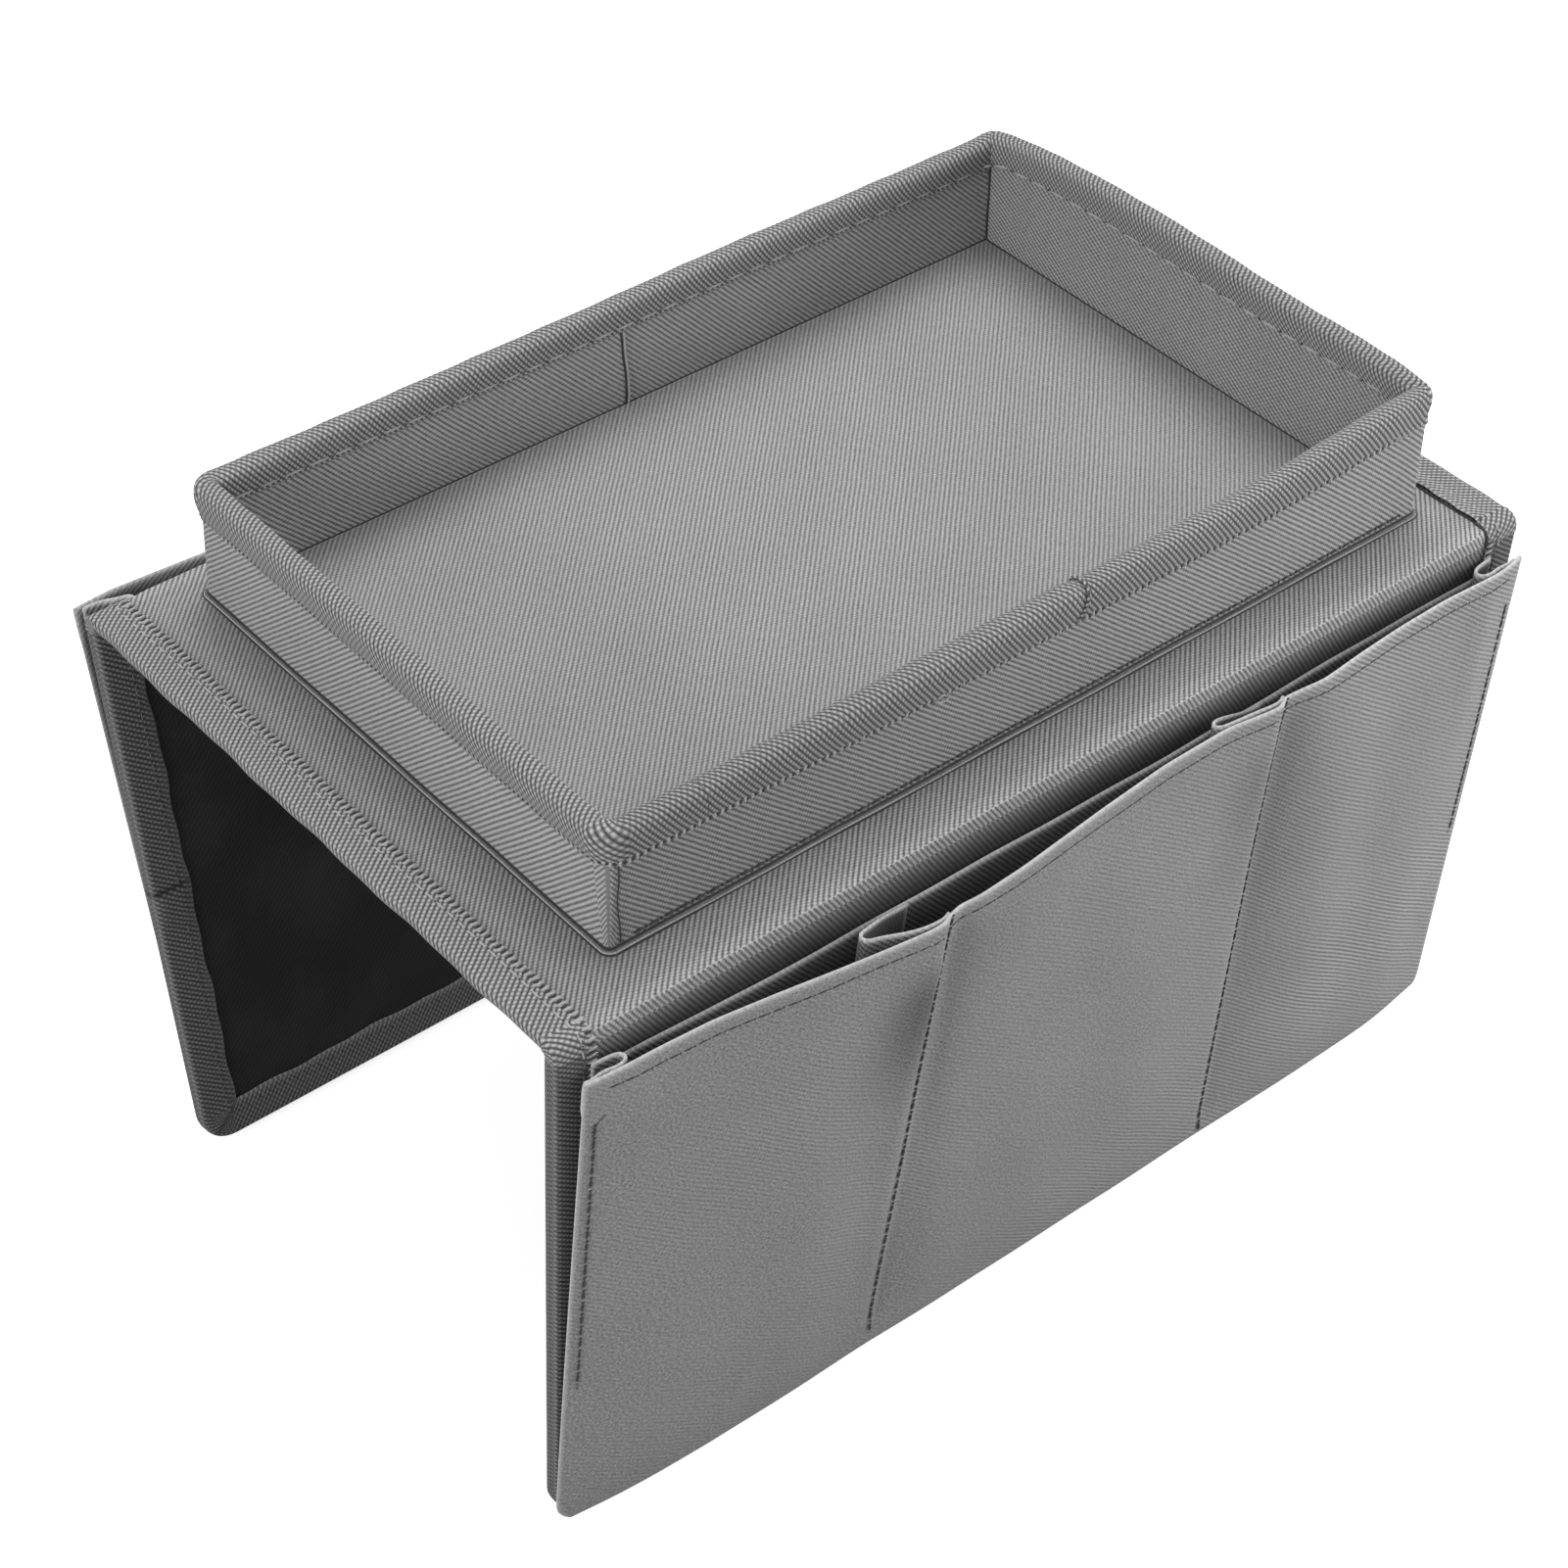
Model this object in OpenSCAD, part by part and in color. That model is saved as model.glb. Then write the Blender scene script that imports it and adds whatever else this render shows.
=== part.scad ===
// Saddle tray for a sofa arm: a stiffened top panel with a shallow tray sewn on it,
// and two hanging flaps that each carry a bank of three bellows pockets.
// Millimetres. +X runs along the sofa arm, +Y across it to the rear, +Z up.
// The origin is the centre of the top panel's underside, which sits on the arm.

/* [Top panel] */
// Length along the sofa arm, over the end bindings
top_len = 330; // [270:5:400]
// Width across the sofa arm, over the outer faces of the two flaps
top_wid = 206; // [180:2:240]

/* [Cloth and board] */
// Thickness of the cover, lining and pocket cloth
cloth = 0.6; // [0.4:0.1:0.8]
// Thickness of the stiffening boards
board = 2; // [1.4:0.1:2.6]
// How far the boards stop short of the edge of their cloth
board_inset = 2; // [1:0.5:4]
// Thickness of the binding tape
tape = 0.8; // [0.6:0.1:1]
// Width of the binding tape on each face
tape_w = 11.5; // [9:0.5:14]
// Clearance between pieces that move against each other
gap = 0.3; // [0.2:0.05:0.4]

/* [Folds] */
// Inner radius of the binding where a flap folds off the top panel
fold_in = 0.5; // [0.5:0.1:2]

/* [Flaps] */
// Drop of each flap below the top face of the panel
flap_drop = 182; // [150:5:220]
// Corner radius at the lower ends of a flap
flap_corner = 10; // [6:1:11]
// Inward lean of the front flap as it hangs, in degrees
front_lean_deg = 2.5; // [0:0.5:8]
// Inward lean of the rear flap as it hangs, in degrees
rear_lean_deg = 8.5; // [0:0.5:10]

/* [Pockets] */
// Distance from the end of a flap to the end of its pocket front
bank_inset = 3; // [2:0.5:10]
// Length of the pocket at the left end of a bank, seen from outside
left_pocket = 105; // [80:1:110]
// Length of the pocket at the right end of a bank, seen from outside
right_pocket = 96; // [80:1:110]
// Distance from the top face down to the mouth of the pocket front
mouth_front = 9; // [8:1:13]
// Distance from the top face down to the top edge of the pocket back
mouth_back = 14; // [12:1:22]
// Room between the pocket back and the pocket front at the mouth
pocket_depth = 12; // [8:0.5:14]
// Room between the flap's binding and the pocket front at the bottom
pocket_base = 1.5; // [1.2:0.1:3]
// Width of the hem along the mouth
hem_w = 9; // [6:0.5:12]
// Corner radius at the lower ends of a pocket front
pocket_corner = 6; // [4:1:10]
// Depth of the side pleat of a divider
divider_fold = 20; // [12:1:26]
// How far a divider's back edge is sewn to the right of its front edge
divider_skew = 5; // [2:1:8]
// Depth of the side pleat of an end gusset
end_fold = 12; // [8:1:18]
// Height above the bottom at which the pleats run out
gusset_rise = 26; // [22:1:50]

/* [Tray] */
// Top panel left free at the left end of the tray
left_margin = 30; // [12:1:40]
// Top panel left free at the right end of the tray
right_margin = 22; // [12:1:40]
// Top panel left free in front of the tray
front_margin = 18; // [8:1:30]
// Top panel left free behind the tray
rear_margin = 12; // [8:1:30]
// Height of the tray above the top face
tray_h = 38; // [26:1:60]
// Outer corner radius of the tray wall
tray_corner = 6; // [5:0.5:12]
// Height of the rim binding on each face of the wall
rim_w = 10; // [6:0.5:14]
// Thickness of the rim binding
rim_t = 1.6; // [1:0.1:2]
// Radius of the seam ridge round the foot of the wall
seam_r = 0.8; // [0.6:0.1:1.4]

/* [Hidden] */
$fn = 64;

// Layers, counted from the outer face inward
panel_t = cloth + board + cloth;
half_len = top_len / 2;
half_wid = top_wid / 2;
cloth_half = half_len - tape;
tape_in = half_len - tape_w;
board_half = cloth_half - board_inset;

// Fold axis of a flap, and the radii of the layers that bend round it
fold_r = panel_t + tape + fold_in;
axis_y = half_wid - fold_r;
axis_z = panel_t - fold_r;
lining_r = fold_r - panel_t;

// Heights in a flap's own space, whose origin is the fold axis
flap_foot = fold_r - flap_drop;
back_top = fold_r - mouth_back;
front_top = fold_r - mouth_front;
pleat_foot = flap_foot + gusset_rise;

// Pocket front, hinged along its lower edge
front_half = half_len - bank_inset;
back_face = -fold_r - cloth;
base_face = -fold_r - tape - pocket_base;
front_rise = front_top - flap_foot;
wedge = atan((pocket_depth + cloth - tape - pocket_base) / front_rise);
front_h = front_rise / cos(wedge);
left_divider_x = left_pocket - front_half;
right_divider_x = front_half - right_pocket;

// Tray
tray_len = top_len - left_margin - right_margin;
tray_wid = top_wid - front_margin - rear_margin;
tray_x = (left_margin - right_margin) / 2;
tray_y = (front_margin - rear_margin) / 2;
rim_top = panel_t + tray_h;
wall_top = rim_top - rim_t;
wall_h = wall_top - panel_t;
inner_len = tray_len - 2 * panel_t;
inner_wid = tray_wid - 2 * panel_t;
inner_corner = tray_corner - panel_t;

eps = 0.01;
cover_grey = [0.6, 0.6, 0.6];
tape_grey = [0.42, 0.42, 0.42];
lining_grey = [0.14, 0.14, 0.14];
board_grey = [0.8, 0.78, 0.72];

// Flat slab centred on X and Y with its underside at height z
module slab(x, y, t, z) {
    translate([-x / 2, -y / 2, z]) cube([x, y, t]);
}

// Rectangle with round corners, centred on the origin
module round_rect(x, y, r) {
    square([x - 2 * r, y], center = true);
    square([x, y - 2 * r], center = true);
    for (sx = [-1, 1], sy = [-1, 1]) {
        translate([sx * (x / 2 - r), sy * (y / 2 - r)]) circle(r);
    }
}

// Upright ring between a round rectangle and the one that lies t inside it
module ring(x, y, r, t, h) {
    difference() {
        linear_extrude(height = h) round_rect(x, y, r);
        translate([0, 0, -t]) linear_extrude(height = h + 2 * t) round_rect(x - 2 * t, y - 2 * t, r - t);
    }
}

module at_tray(z) {
    translate([tray_x, tray_y, z]) children();
}

// Space of a flap: origin on the fold axis, outward is -Y, side 0 is the front and 1 the rear
module at_fold(side) {
    rotate([0, 0, 180 * side]) translate([0, -axis_y, axis_z]) children();
}

module at_flap(side) {
    lean = side == 0 ? front_lean_deg : rear_lean_deg;
    at_fold(side) rotate([lean, 0, 0]) children();
}

// Space of a pocket front: origin on its lower edge, in the middle of the cloth
module at_pocket(side) {
    at_flap(side) translate([0, base_face - cloth / 2, flap_foot]) rotate([wedge, 0, 0]) children();
}

// Top panel
module top_cover() {
    color(cover_grey) slab(2 * cloth_half, 2 * axis_y, cloth, panel_t - cloth);
}

module top_board() {
    color(board_grey) slab(2 * board_half, 2 * axis_y, board, cloth);
}

module top_lining() {
    color(lining_grey) slab(2 * tape_in, 2 * axis_y, cloth, 0);
}

// Tape folded over one end of the top panel. Under the panel it is pressed flush with the
// lining, so that the saddle lies flat on the arm.
module end_binding(sx) {
    translate([sx * (half_len - tape_w / 2), 0, 0]) {
        slab(tape_w, 2 * axis_y, tape, panel_t);
        slab(tape_w, 2 * axis_y, cloth, 0);
    }
    translate([sx * (half_len - tape / 2), 0, 0]) slab(tape, 2 * axis_y, panel_t, 0);
}

module left_end_binding() {
    color(tape_grey) end_binding(-1);
}

module right_end_binding() {
    color(tape_grey) end_binding(1);
}

// Tray
module tray_floor_board() {
    color(board_grey) at_tray(panel_t) linear_extrude(height = board)
        round_rect(inner_len - 2 * gap, inner_wid - 2 * gap, inner_corner - gap);
}

module tray_floor_cover() {
    color(cover_grey) at_tray(panel_t + board) linear_extrude(height = cloth)
        round_rect(inner_len - 2 * gap, inner_wid - 2 * gap, inner_corner - gap);
}

// Boards of the long walls: sy is -1 at the front and 1 at the rear
module long_wall_board(sy) {
    color(board_grey) translate([tray_x, tray_y + sy * (tray_wid / 2 - cloth - board / 2), 0])
        slab(tray_len - 2 * tray_corner, board, wall_h, panel_t);
}

// Boards of the short walls: sx is -1 at the left and 1 at the right
module short_wall_board(sx) {
    color(board_grey) translate([tray_x + sx * (tray_len / 2 - cloth - board / 2), tray_y, 0])
        slab(board, tray_wid - 2 * tray_corner, wall_h, panel_t);
}

module tray_outer_wall_cloth() {
    color(cover_grey) at_tray(panel_t) ring(tray_len, tray_wid, tray_corner, cloth, wall_h);
}

module tray_inner_wall_cloth() {
    inner_face = cloth + board;
    color(cover_grey) at_tray(panel_t)
        ring(tray_len - 2 * inner_face, tray_wid - 2 * inner_face, tray_corner - inner_face, cloth, wall_h);
}

// Tape folded over the top edge of the wall
module tray_rim_binding() {
    leg_h = rim_w - rim_t;
    color(tape_grey) {
        at_tray(rim_top - rim_w)
            ring(tray_len + 2 * rim_t, tray_wid + 2 * rim_t, tray_corner + rim_t, rim_t, leg_h);
        at_tray(rim_top - rim_w) ring(inner_len, inner_wid, inner_corner, rim_t, leg_h);
        at_tray(wall_top)
            ring(tray_len + 2 * rim_t, tray_wid + 2 * rim_t, tray_corner + rim_t, panel_t + 2 * rim_t, rim_t);
    }
}

// Round ridge along the seam that joins the wall to the top panel
module tray_base_seam() {
    run_x = tray_len / 2 - tray_corner;
    run_y = tray_wid / 2 - tray_corner;
    path_r = tray_corner + seam_r;
    color(cover_grey) at_tray(panel_t + seam_r) {
        for (s = [-1, 1]) {
            translate([-run_x, s * (run_y + path_r), 0]) rotate([0, 90, 0])
                cylinder(r = seam_r, h = 2 * run_x);
            translate([s * (run_x + path_r), run_y, 0]) rotate([90, 0, 0])
                cylinder(r = seam_r, h = 2 * run_y);
        }
        for (q = [0:3]) {
            sx = (q == 0 || q == 3) ? 1 : -1;
            sy = q < 2 ? 1 : -1;
            translate([sx * run_x, sy * run_y, 0]) rotate([0, 0, 90 * q])
                rotate_extrude(angle = 90) translate([path_r, 0]) circle(seam_r);
        }
    }
}

// Soft folds: a layer bent round the fold axis from the top panel to the flap
module bent_layer(side, r, t, x0, x1) {
    lean = side == 0 ? front_lean_deg : rear_lean_deg;
    at_fold(side) translate([x0, 0, 0]) rotate([180, 0, 0]) rotate([0, 90, 0])
        rotate_extrude(angle = 90 + lean) translate([r, 0]) square([t, x1 - x0]);
}

module fold_cover(side) {
    color(cover_grey) bent_layer(side, fold_r - cloth, cloth, -cloth_half, cloth_half);
}

module fold_lining(side) {
    color(lining_grey) bent_layer(side, lining_r, cloth, -cloth_half, cloth_half);
}

module fold_bindings(side) {
    color(tape_grey) for (sx = [-1, 1]) {
        mid = sx * (half_len - tape_w / 2);
        edge = sx * (half_len - tape / 2);
        bent_layer(side, fold_r, tape, mid - tape_w / 2, mid + tape_w / 2);
        bent_layer(side, lining_r, panel_t, edge - tape / 2, edge + tape / 2);
        bent_layer(side, fold_in, tape, mid - tape_w / 2, mid + tape_w / 2);
    }
}

// Outline of a flap in X and Z with its three bound edges drawn in by inset
module flap_outline(inset) {
    x = half_len - inset;
    r = flap_corner - inset;
    foot = flap_foot + inset;
    translate([-x, foot + r]) square([2 * x, -gap - foot - r]);
    translate([r - x, foot]) square([2 * (x - r), r + eps]);
    for (sx = [-1, 1]) {
        translate([sx * (x - r), foot + r]) circle(r);
    }
}

// Layer of a flap, t thick, whose outer face lies at a depth inside the cover's outer face
module flap_layer(depth, t, inset) {
    translate([0, depth - fold_r + t, 0]) rotate([90, 0, 0]) linear_extrude(height = t) flap_outline(inset);
}

module flap_cover(side) {
    color(cover_grey) at_flap(side) flap_layer(0, cloth, tape);
}

module flap_board(side) {
    color(board_grey) at_flap(side) flap_layer(cloth, board, tape + board_inset);
}

module flap_lining(side) {
    color(lining_grey) at_flap(side) flap_layer(cloth + board, cloth, tape);
}

// Tape folded over both ends and the lower edge of a flap
module flap_binding(side) {
    open_foot = flap_foot + tape_w;
    color(tape_grey) at_flap(side) {
        difference() {
            union() {
                flap_layer(-tape, tape, 0);
                flap_layer(panel_t, tape, 0);
            }
            translate([-tape_in, -2 * fold_r, open_foot]) cube([2 * tape_in, 4 * fold_r, flap_drop]);
        }
        difference() {
            flap_layer(0, panel_t, 0);
            translate([0, -gap, 0]) flap_layer(0, panel_t + 2 * gap, tape);
            translate([-cloth_half, -2 * fold_r, -2 * gap]) cube([2 * cloth_half, 4 * fold_r, 3 * gap]);
        }
    }
}

// Pocket bank
module pocket_back(side) {
    foot = flap_foot + tape_w;
    color(cover_grey) at_flap(side) translate([-tape_in, back_face, foot])
        cube([2 * tape_in, cloth, back_top - foot]);
}

// Lower edge of the bank, turned in and sewn to the flap
module pocket_bottom_hem(side) {
    x = front_half - pocket_corner;
    color(cover_grey) at_flap(side) translate([-x, base_face + gap, flap_foot])
        cube([2 * x, pocket_base - gap, cloth]);
}

module pocket_front(side) {
    x = front_half;
    r = pocket_corner;
    color(cover_grey) at_pocket(side) {
        translate([0, cloth / 2, 0]) rotate([90, 0, 0]) linear_extrude(height = cloth) {
            translate([-x, r]) square([2 * x, front_h - r]);
            translate([r - x, 0]) square([2 * (x - r), r + eps]);
            for (sx = [-1, 1]) {
                translate([sx * (x - r), r]) circle(r);
            }
        }
        translate([-x, cloth / 2, front_h - hem_w]) cube([2 * x, cloth, hem_w]);
    }
}

// Inner face of the pocket front at height z in the flap's space
function front_face(z) = base_face - tan(wedge) * (z - flap_foot);

// One leaf of a pleat: back or front end b and fold line a, each an X with a Y at the top and the foot
module leaf(ax, ay, bx, by) {
    hull() for (k = [0, 1]) {
        z = k == 0 ? back_top : pleat_foot;
        translate([ax, ay[k], z]) cube([cloth, cloth, eps], center = true);
        translate([bx, by[k], z]) cube([cloth, cloth, eps], center = true);
    }
}

// Pleat from the pocket back at back_x, round a fold at fold_x, to the pocket front at front_x
module pleat(side, back_x, fold_x, front_x) {
    at_back = back_face - cloth / 2;
    top_front = front_face(back_top) + cloth + gap + cloth / 2;
    foot_front = front_face(pleat_foot) + gap + cloth / 2;
    back_y = [at_back, at_back];
    front_y = [top_front, foot_front];
    fold_y = (back_y + front_y) / 2;
    color(cover_grey) at_flap(side) {
        leaf(fold_x, fold_y, back_x, back_y);
        leaf(fold_x, fold_y, front_x, front_y);
    }
}

module divider(side, x) {
    pleat(side, x + divider_skew, x - divider_fold, x);
}

module end_gusset(side, sx) {
    front_x = front_half - cloth;
    pleat(side, sx * (tape_in - cloth), sx * (front_x - end_fold), sx * front_x);
}

top_cover();
top_board();
top_lining();
left_end_binding();
right_end_binding();
tray_floor_board();
tray_floor_cover();
long_wall_board(-1);  // tray_front_wall_board
long_wall_board(1);  // tray_rear_wall_board
short_wall_board(-1);  // tray_left_wall_board
short_wall_board(1);  // tray_right_wall_board
tray_outer_wall_cloth();
tray_inner_wall_cloth();
tray_rim_binding();
tray_base_seam();
fold_cover(0);  // front_fold_cover
fold_lining(0);  // front_fold_lining
fold_bindings(0);  // front_fold_bindings
fold_cover(1);  // rear_fold_cover
fold_lining(1);  // rear_fold_lining
fold_bindings(1);  // rear_fold_bindings
flap_cover(0);  // front_flap_cover
flap_board(0);  // front_flap_board
flap_lining(0);  // front_flap_lining
flap_binding(0);  // front_flap_binding
pocket_back(0);  // front_pocket_back
pocket_bottom_hem(0);  // front_pocket_bottom_hem
pocket_front(0);  // front_pocket_front
divider(0, left_divider_x);  // front_left_divider
divider(0, right_divider_x);  // front_right_divider
end_gusset(0, -1);  // front_left_end_gusset
end_gusset(0, 1);  // front_right_end_gusset
flap_cover(1);  // rear_flap_cover
flap_board(1);  // rear_flap_board
flap_lining(1);  // rear_flap_lining
flap_binding(1);  // rear_flap_binding
pocket_back(1);  // rear_pocket_back
pocket_bottom_hem(1);  // rear_pocket_bottom_hem
pocket_front(1);  // rear_pocket_front
divider(1, left_divider_x);  // rear_left_divider
divider(1, right_divider_x);  // rear_right_divider
end_gusset(1, -1);  // rear_left_end_gusset
end_gusset(1, 1);  // rear_right_end_gusset
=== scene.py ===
"""Sofa arm tray: a ribbed cloth saddle with a sewn tray on top and two hanging banks of bellows pockets."""

import logging
import math
from dataclasses import dataclass, field
from enum import Enum
from typing import Callable, Sequence

import bpy
import numpy as np
from mathutils import Matrix, Vector


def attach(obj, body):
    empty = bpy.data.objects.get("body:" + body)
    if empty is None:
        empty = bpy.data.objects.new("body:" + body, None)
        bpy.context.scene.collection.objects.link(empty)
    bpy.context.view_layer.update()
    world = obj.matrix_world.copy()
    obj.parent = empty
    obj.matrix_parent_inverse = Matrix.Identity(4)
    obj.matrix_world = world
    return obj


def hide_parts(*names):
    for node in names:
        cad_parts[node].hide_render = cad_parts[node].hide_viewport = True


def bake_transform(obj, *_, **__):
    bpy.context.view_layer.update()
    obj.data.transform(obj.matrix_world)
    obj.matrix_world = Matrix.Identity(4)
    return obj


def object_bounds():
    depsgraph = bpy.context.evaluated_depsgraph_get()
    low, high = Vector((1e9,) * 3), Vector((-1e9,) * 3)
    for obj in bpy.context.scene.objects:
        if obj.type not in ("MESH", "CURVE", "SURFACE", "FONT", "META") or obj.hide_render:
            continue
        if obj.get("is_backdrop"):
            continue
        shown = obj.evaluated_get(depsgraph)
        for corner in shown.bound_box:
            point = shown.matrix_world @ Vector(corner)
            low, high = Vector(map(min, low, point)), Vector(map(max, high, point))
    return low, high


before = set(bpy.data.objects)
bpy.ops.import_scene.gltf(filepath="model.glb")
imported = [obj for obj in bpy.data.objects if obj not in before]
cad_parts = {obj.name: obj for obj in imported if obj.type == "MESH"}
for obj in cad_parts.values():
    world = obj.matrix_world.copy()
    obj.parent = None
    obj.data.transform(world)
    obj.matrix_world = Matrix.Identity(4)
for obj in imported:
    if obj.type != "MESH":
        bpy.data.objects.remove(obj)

MM = 0.001
LOG = logging.getLogger("sofa_arm_tray")


# ---------------------------------------------------------------- sizes


@dataclass(frozen=True)
class Pattern:
    """The sewing pattern's sizes in millimetres, in the part's frame."""

    half_len: float = 165.0
    fold_y: float = 98.5
    fold_z: float = -1.3
    fold_r: float = 4.5
    panel: float = 3.2
    cloth: float = 0.6
    tape: float = 0.8
    tape_w: float = 11.5
    foot: float = -177.5
    flap_corner: float = 10.0
    front_half: float = 162.0
    back_half: float = 153.5
    back_top: float = -9.5
    mouth: float = -4.5
    hem: float = 9.0
    pleat_foot: float = -151.5
    tray_x: float = 4.0
    tray_y: float = 3.0
    tray_half_x: float = 139.0
    tray_half_y: float = 88.0
    tray_corner: float = 6.0
    rim_top: float = 41.2
    floor_top: float = 5.8


PATTERN = Pattern()


class Side(Enum):
    """The two sides of the sofa's arm that the saddle hangs over."""

    FRONT = "front"
    REAR = "rear"

    @property
    def lean(self) -> float:
        """Inward lean of this side's flap, in radians."""
        return math.radians(2.5 if self is Side.FRONT else 8.5)

    @property
    def turn(self) -> float:
        """1 at the front, and -1 at the rear, which is the front turned half round."""
        return 1.0 if self is Side.FRONT else -1.0

    def node(self, name: str) -> str:
        """The name of one of this side's nodes."""
        return f"{self.value}_{name}"

    def body(self, name: str) -> str:
        """The name of one of this side's bodies."""
        return f"{self.value}_{name}"

    def from_flap(self, points: np.ndarray) -> np.ndarray:
        """Moves points from the flap's space into the part's frame.

        Args:
            points: Array of X, outward as -Y and Z from the fold axis, in millimetres.

        Returns:
            The same points in the part's frame.
        """
        cos, sin = math.cos(self.lean), math.sin(self.lean)
        y = points[..., 1] * cos - points[..., 2] * sin - PATTERN.fold_y
        z = points[..., 1] * sin + points[..., 2] * cos + PATTERN.fold_z
        return np.stack([points[..., 0] * self.turn, y * self.turn, z], -1)

    def from_fold(self, x: np.ndarray, out: np.ndarray, up: np.ndarray) -> np.ndarray:
        """Moves points from the fold's space, which doesn't lean, into the part's frame.

        Args:
            x: Place along the fold.
            out: Distance outward from the fold axis.
            up: Height above the fold axis.

        Returns:
            The points in the part's frame.
        """
        x, out, up = np.broadcast_arrays(x, out, up)
        return np.stack([x * self.turn, -(PATTERN.fold_y + out) * self.turn, up + PATTERN.fold_z], -1)


# ---------------------------------------------------------------- shapes


def steps(low: float, high: float, spacing: float, edge: float = 1.2) -> np.ndarray:
    """Evenly spread places between two edges, with one close line inside each edge.

    Args:
        low: First edge.
        high: Last edge.
        spacing: Wanted distance between places.
        edge: Distance of the close line from its edge.

    Returns:
        The places, in rising order.
    """
    count = max(2, int(round((high - low - 2 * edge) / spacing)) + 1)
    return np.concatenate([[low], np.linspace(low + edge, high - edge, count), [high]])


def smooth_curve(knots: Sequence[tuple[float, float]], blur: float = 2.5) -> Callable[[np.ndarray], np.ndarray]:
    """A soft curve through knots.

    Args:
        knots: Pairs of place and value.
        blur: How far the corners at the knots are rounded, in millimetres.

    Returns:
        A function of the place.
    """
    places, values = np.array(knots, float).T
    line = np.arange(places[0] - 6 * blur, places[-1] + 6 * blur, 0.5)
    raw = np.interp(line, places, values)
    kernel = np.exp(-0.5 * (np.arange(-6, 6.01, 0.5 / blur)) ** 2)
    soft = np.convolve(np.pad(raw, len(kernel) // 2, "edge"), kernel / kernel.sum(), "valid")[: len(line)]
    return lambda x: np.interp(x, line, soft)


def ripples(a: np.ndarray, b: np.ndarray, seed: int, shortest: float = 30.0, longest: float = 90.0) -> np.ndarray:
    """Slow, shallow waves of a cloth that isn't quite flat.

    Args:
        a: Place along the cloth, in millimetres.
        b: Place across the cloth, in millimetres.
        seed: Fixes the waves.
        shortest: Shortest wave, in millimetres.
        longest: Longest wave, in millimetres.

    Returns:
        Heights from about -1 to 1.
    """
    rng = np.random.default_rng(seed)
    total = np.zeros(np.broadcast(a, b).shape)
    for _ in range(7):
        turn, wave, start = rng.uniform(0, math.tau), rng.uniform(shortest, longest), rng.uniform(0, math.tau)
        total = total + np.sin((a * math.cos(turn) + b * math.sin(turn)) * math.tau / wave + start)
    return total / 3.5


def rise(value: np.ndarray) -> np.ndarray:
    """Smooth step from 0 to 1."""
    t = np.clip(value, 0.0, 1.0)
    return t * t * (3 - 2 * t)


def rib_map(a: np.ndarray, b: np.ndarray, angle: float) -> np.ndarray:
    """Flat cloth coordinates with the ribs along U.

    Args:
        a: Place along the cloth's first direction, in millimetres.
        b: Place along its second direction, in millimetres.
        angle: Direction of the ribs from the first direction, in degrees.

    Returns:
        U and V in metres.
    """
    a, b = np.broadcast_arrays(a, b)
    cos, sin = math.cos(math.radians(angle)), math.sin(math.radians(angle))
    return np.stack([a * cos + b * sin, b * cos - a * sin], -1) * MM


def walked(points: np.ndarray) -> np.ndarray:
    """Length walked along a line of points, from its first point."""
    return np.concatenate([[0.0], np.cumsum(np.linalg.norm(np.diff(points, axis=0), axis=1))])


def resample(points: np.ndarray, count: int, rounds: int = 2) -> np.ndarray:
    """A rounded line through points, cut into even lengths.

    Args:
        points: The line's points.
        count: Wanted number of points.
        rounds: How often the corners are cut.

    Returns:
        The new points.
    """
    line = np.array(points, float)
    for _ in range(rounds):
        cut = np.stack([line[:-1] * 0.75 + line[1:] * 0.25, line[:-1] * 0.25 + line[1:] * 0.75], 1)
        line = np.concatenate([line[:1], cut.reshape(-1, line.shape[1]), line[-1:]])
    at = walked(line)
    even = np.linspace(0, at[-1], count)
    return np.stack([np.interp(even, at, line[:, k]) for k in range(line.shape[1])], -1)


def unit(vectors: np.ndarray) -> np.ndarray:
    """Vectors brought to length 1."""
    return vectors / np.maximum(np.linalg.norm(vectors, axis=-1, keepdims=True), 1e-9)


def make_object(
    name: str, points: np.ndarray, faces: np.ndarray, uv: np.ndarray, edge: np.ndarray, **marks: np.ndarray
) -> bpy.types.Object:
    """Makes a closed mesh of quads with its cloth coordinates.

    Args:
        name: The piece's name.
        points: Vertices in millimetres.
        faces: Four vertex numbers for each face.
        uv: Two cloth coordinates for each corner of each face, in metres.
        edge: How much rubbed edge and painted highlight each vertex has, from 0 to 1.
        **marks: More marks of each vertex, from 0 to 1, by name.

    Returns:
        The object, linked to the scene.
    """
    a, b, c, d = (points[faces[:, k]] for k in range(4))
    volume = np.einsum("ij,ij->", a, np.cross(b, c)) + np.einsum("ij,ij->", a, np.cross(c, d))
    if volume < 0:
        faces, uv = faces[:, ::-1], uv[:, ::-1]
    mesh = bpy.data.meshes.new(name)
    mesh.from_pydata((points * MM).tolist(), [], faces.tolist())
    mesh.uv_layers.new(name="weave").data.foreach_set("uv", np.ascontiguousarray(uv, np.float32).ravel())
    for label, values in {"edge": edge, **marks}.items():
        mesh.attributes.new(label, "FLOAT", "POINT").data.foreach_set("value", values.astype(np.float32))
    mesh.polygons.foreach_set("use_smooth", [True] * len(mesh.polygons))
    mesh.set_sharp_from_angle(angle=math.radians(62))
    piece = bpy.data.objects.new(name, mesh)
    bpy.context.scene.collection.objects.link(piece)
    return piece


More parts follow.
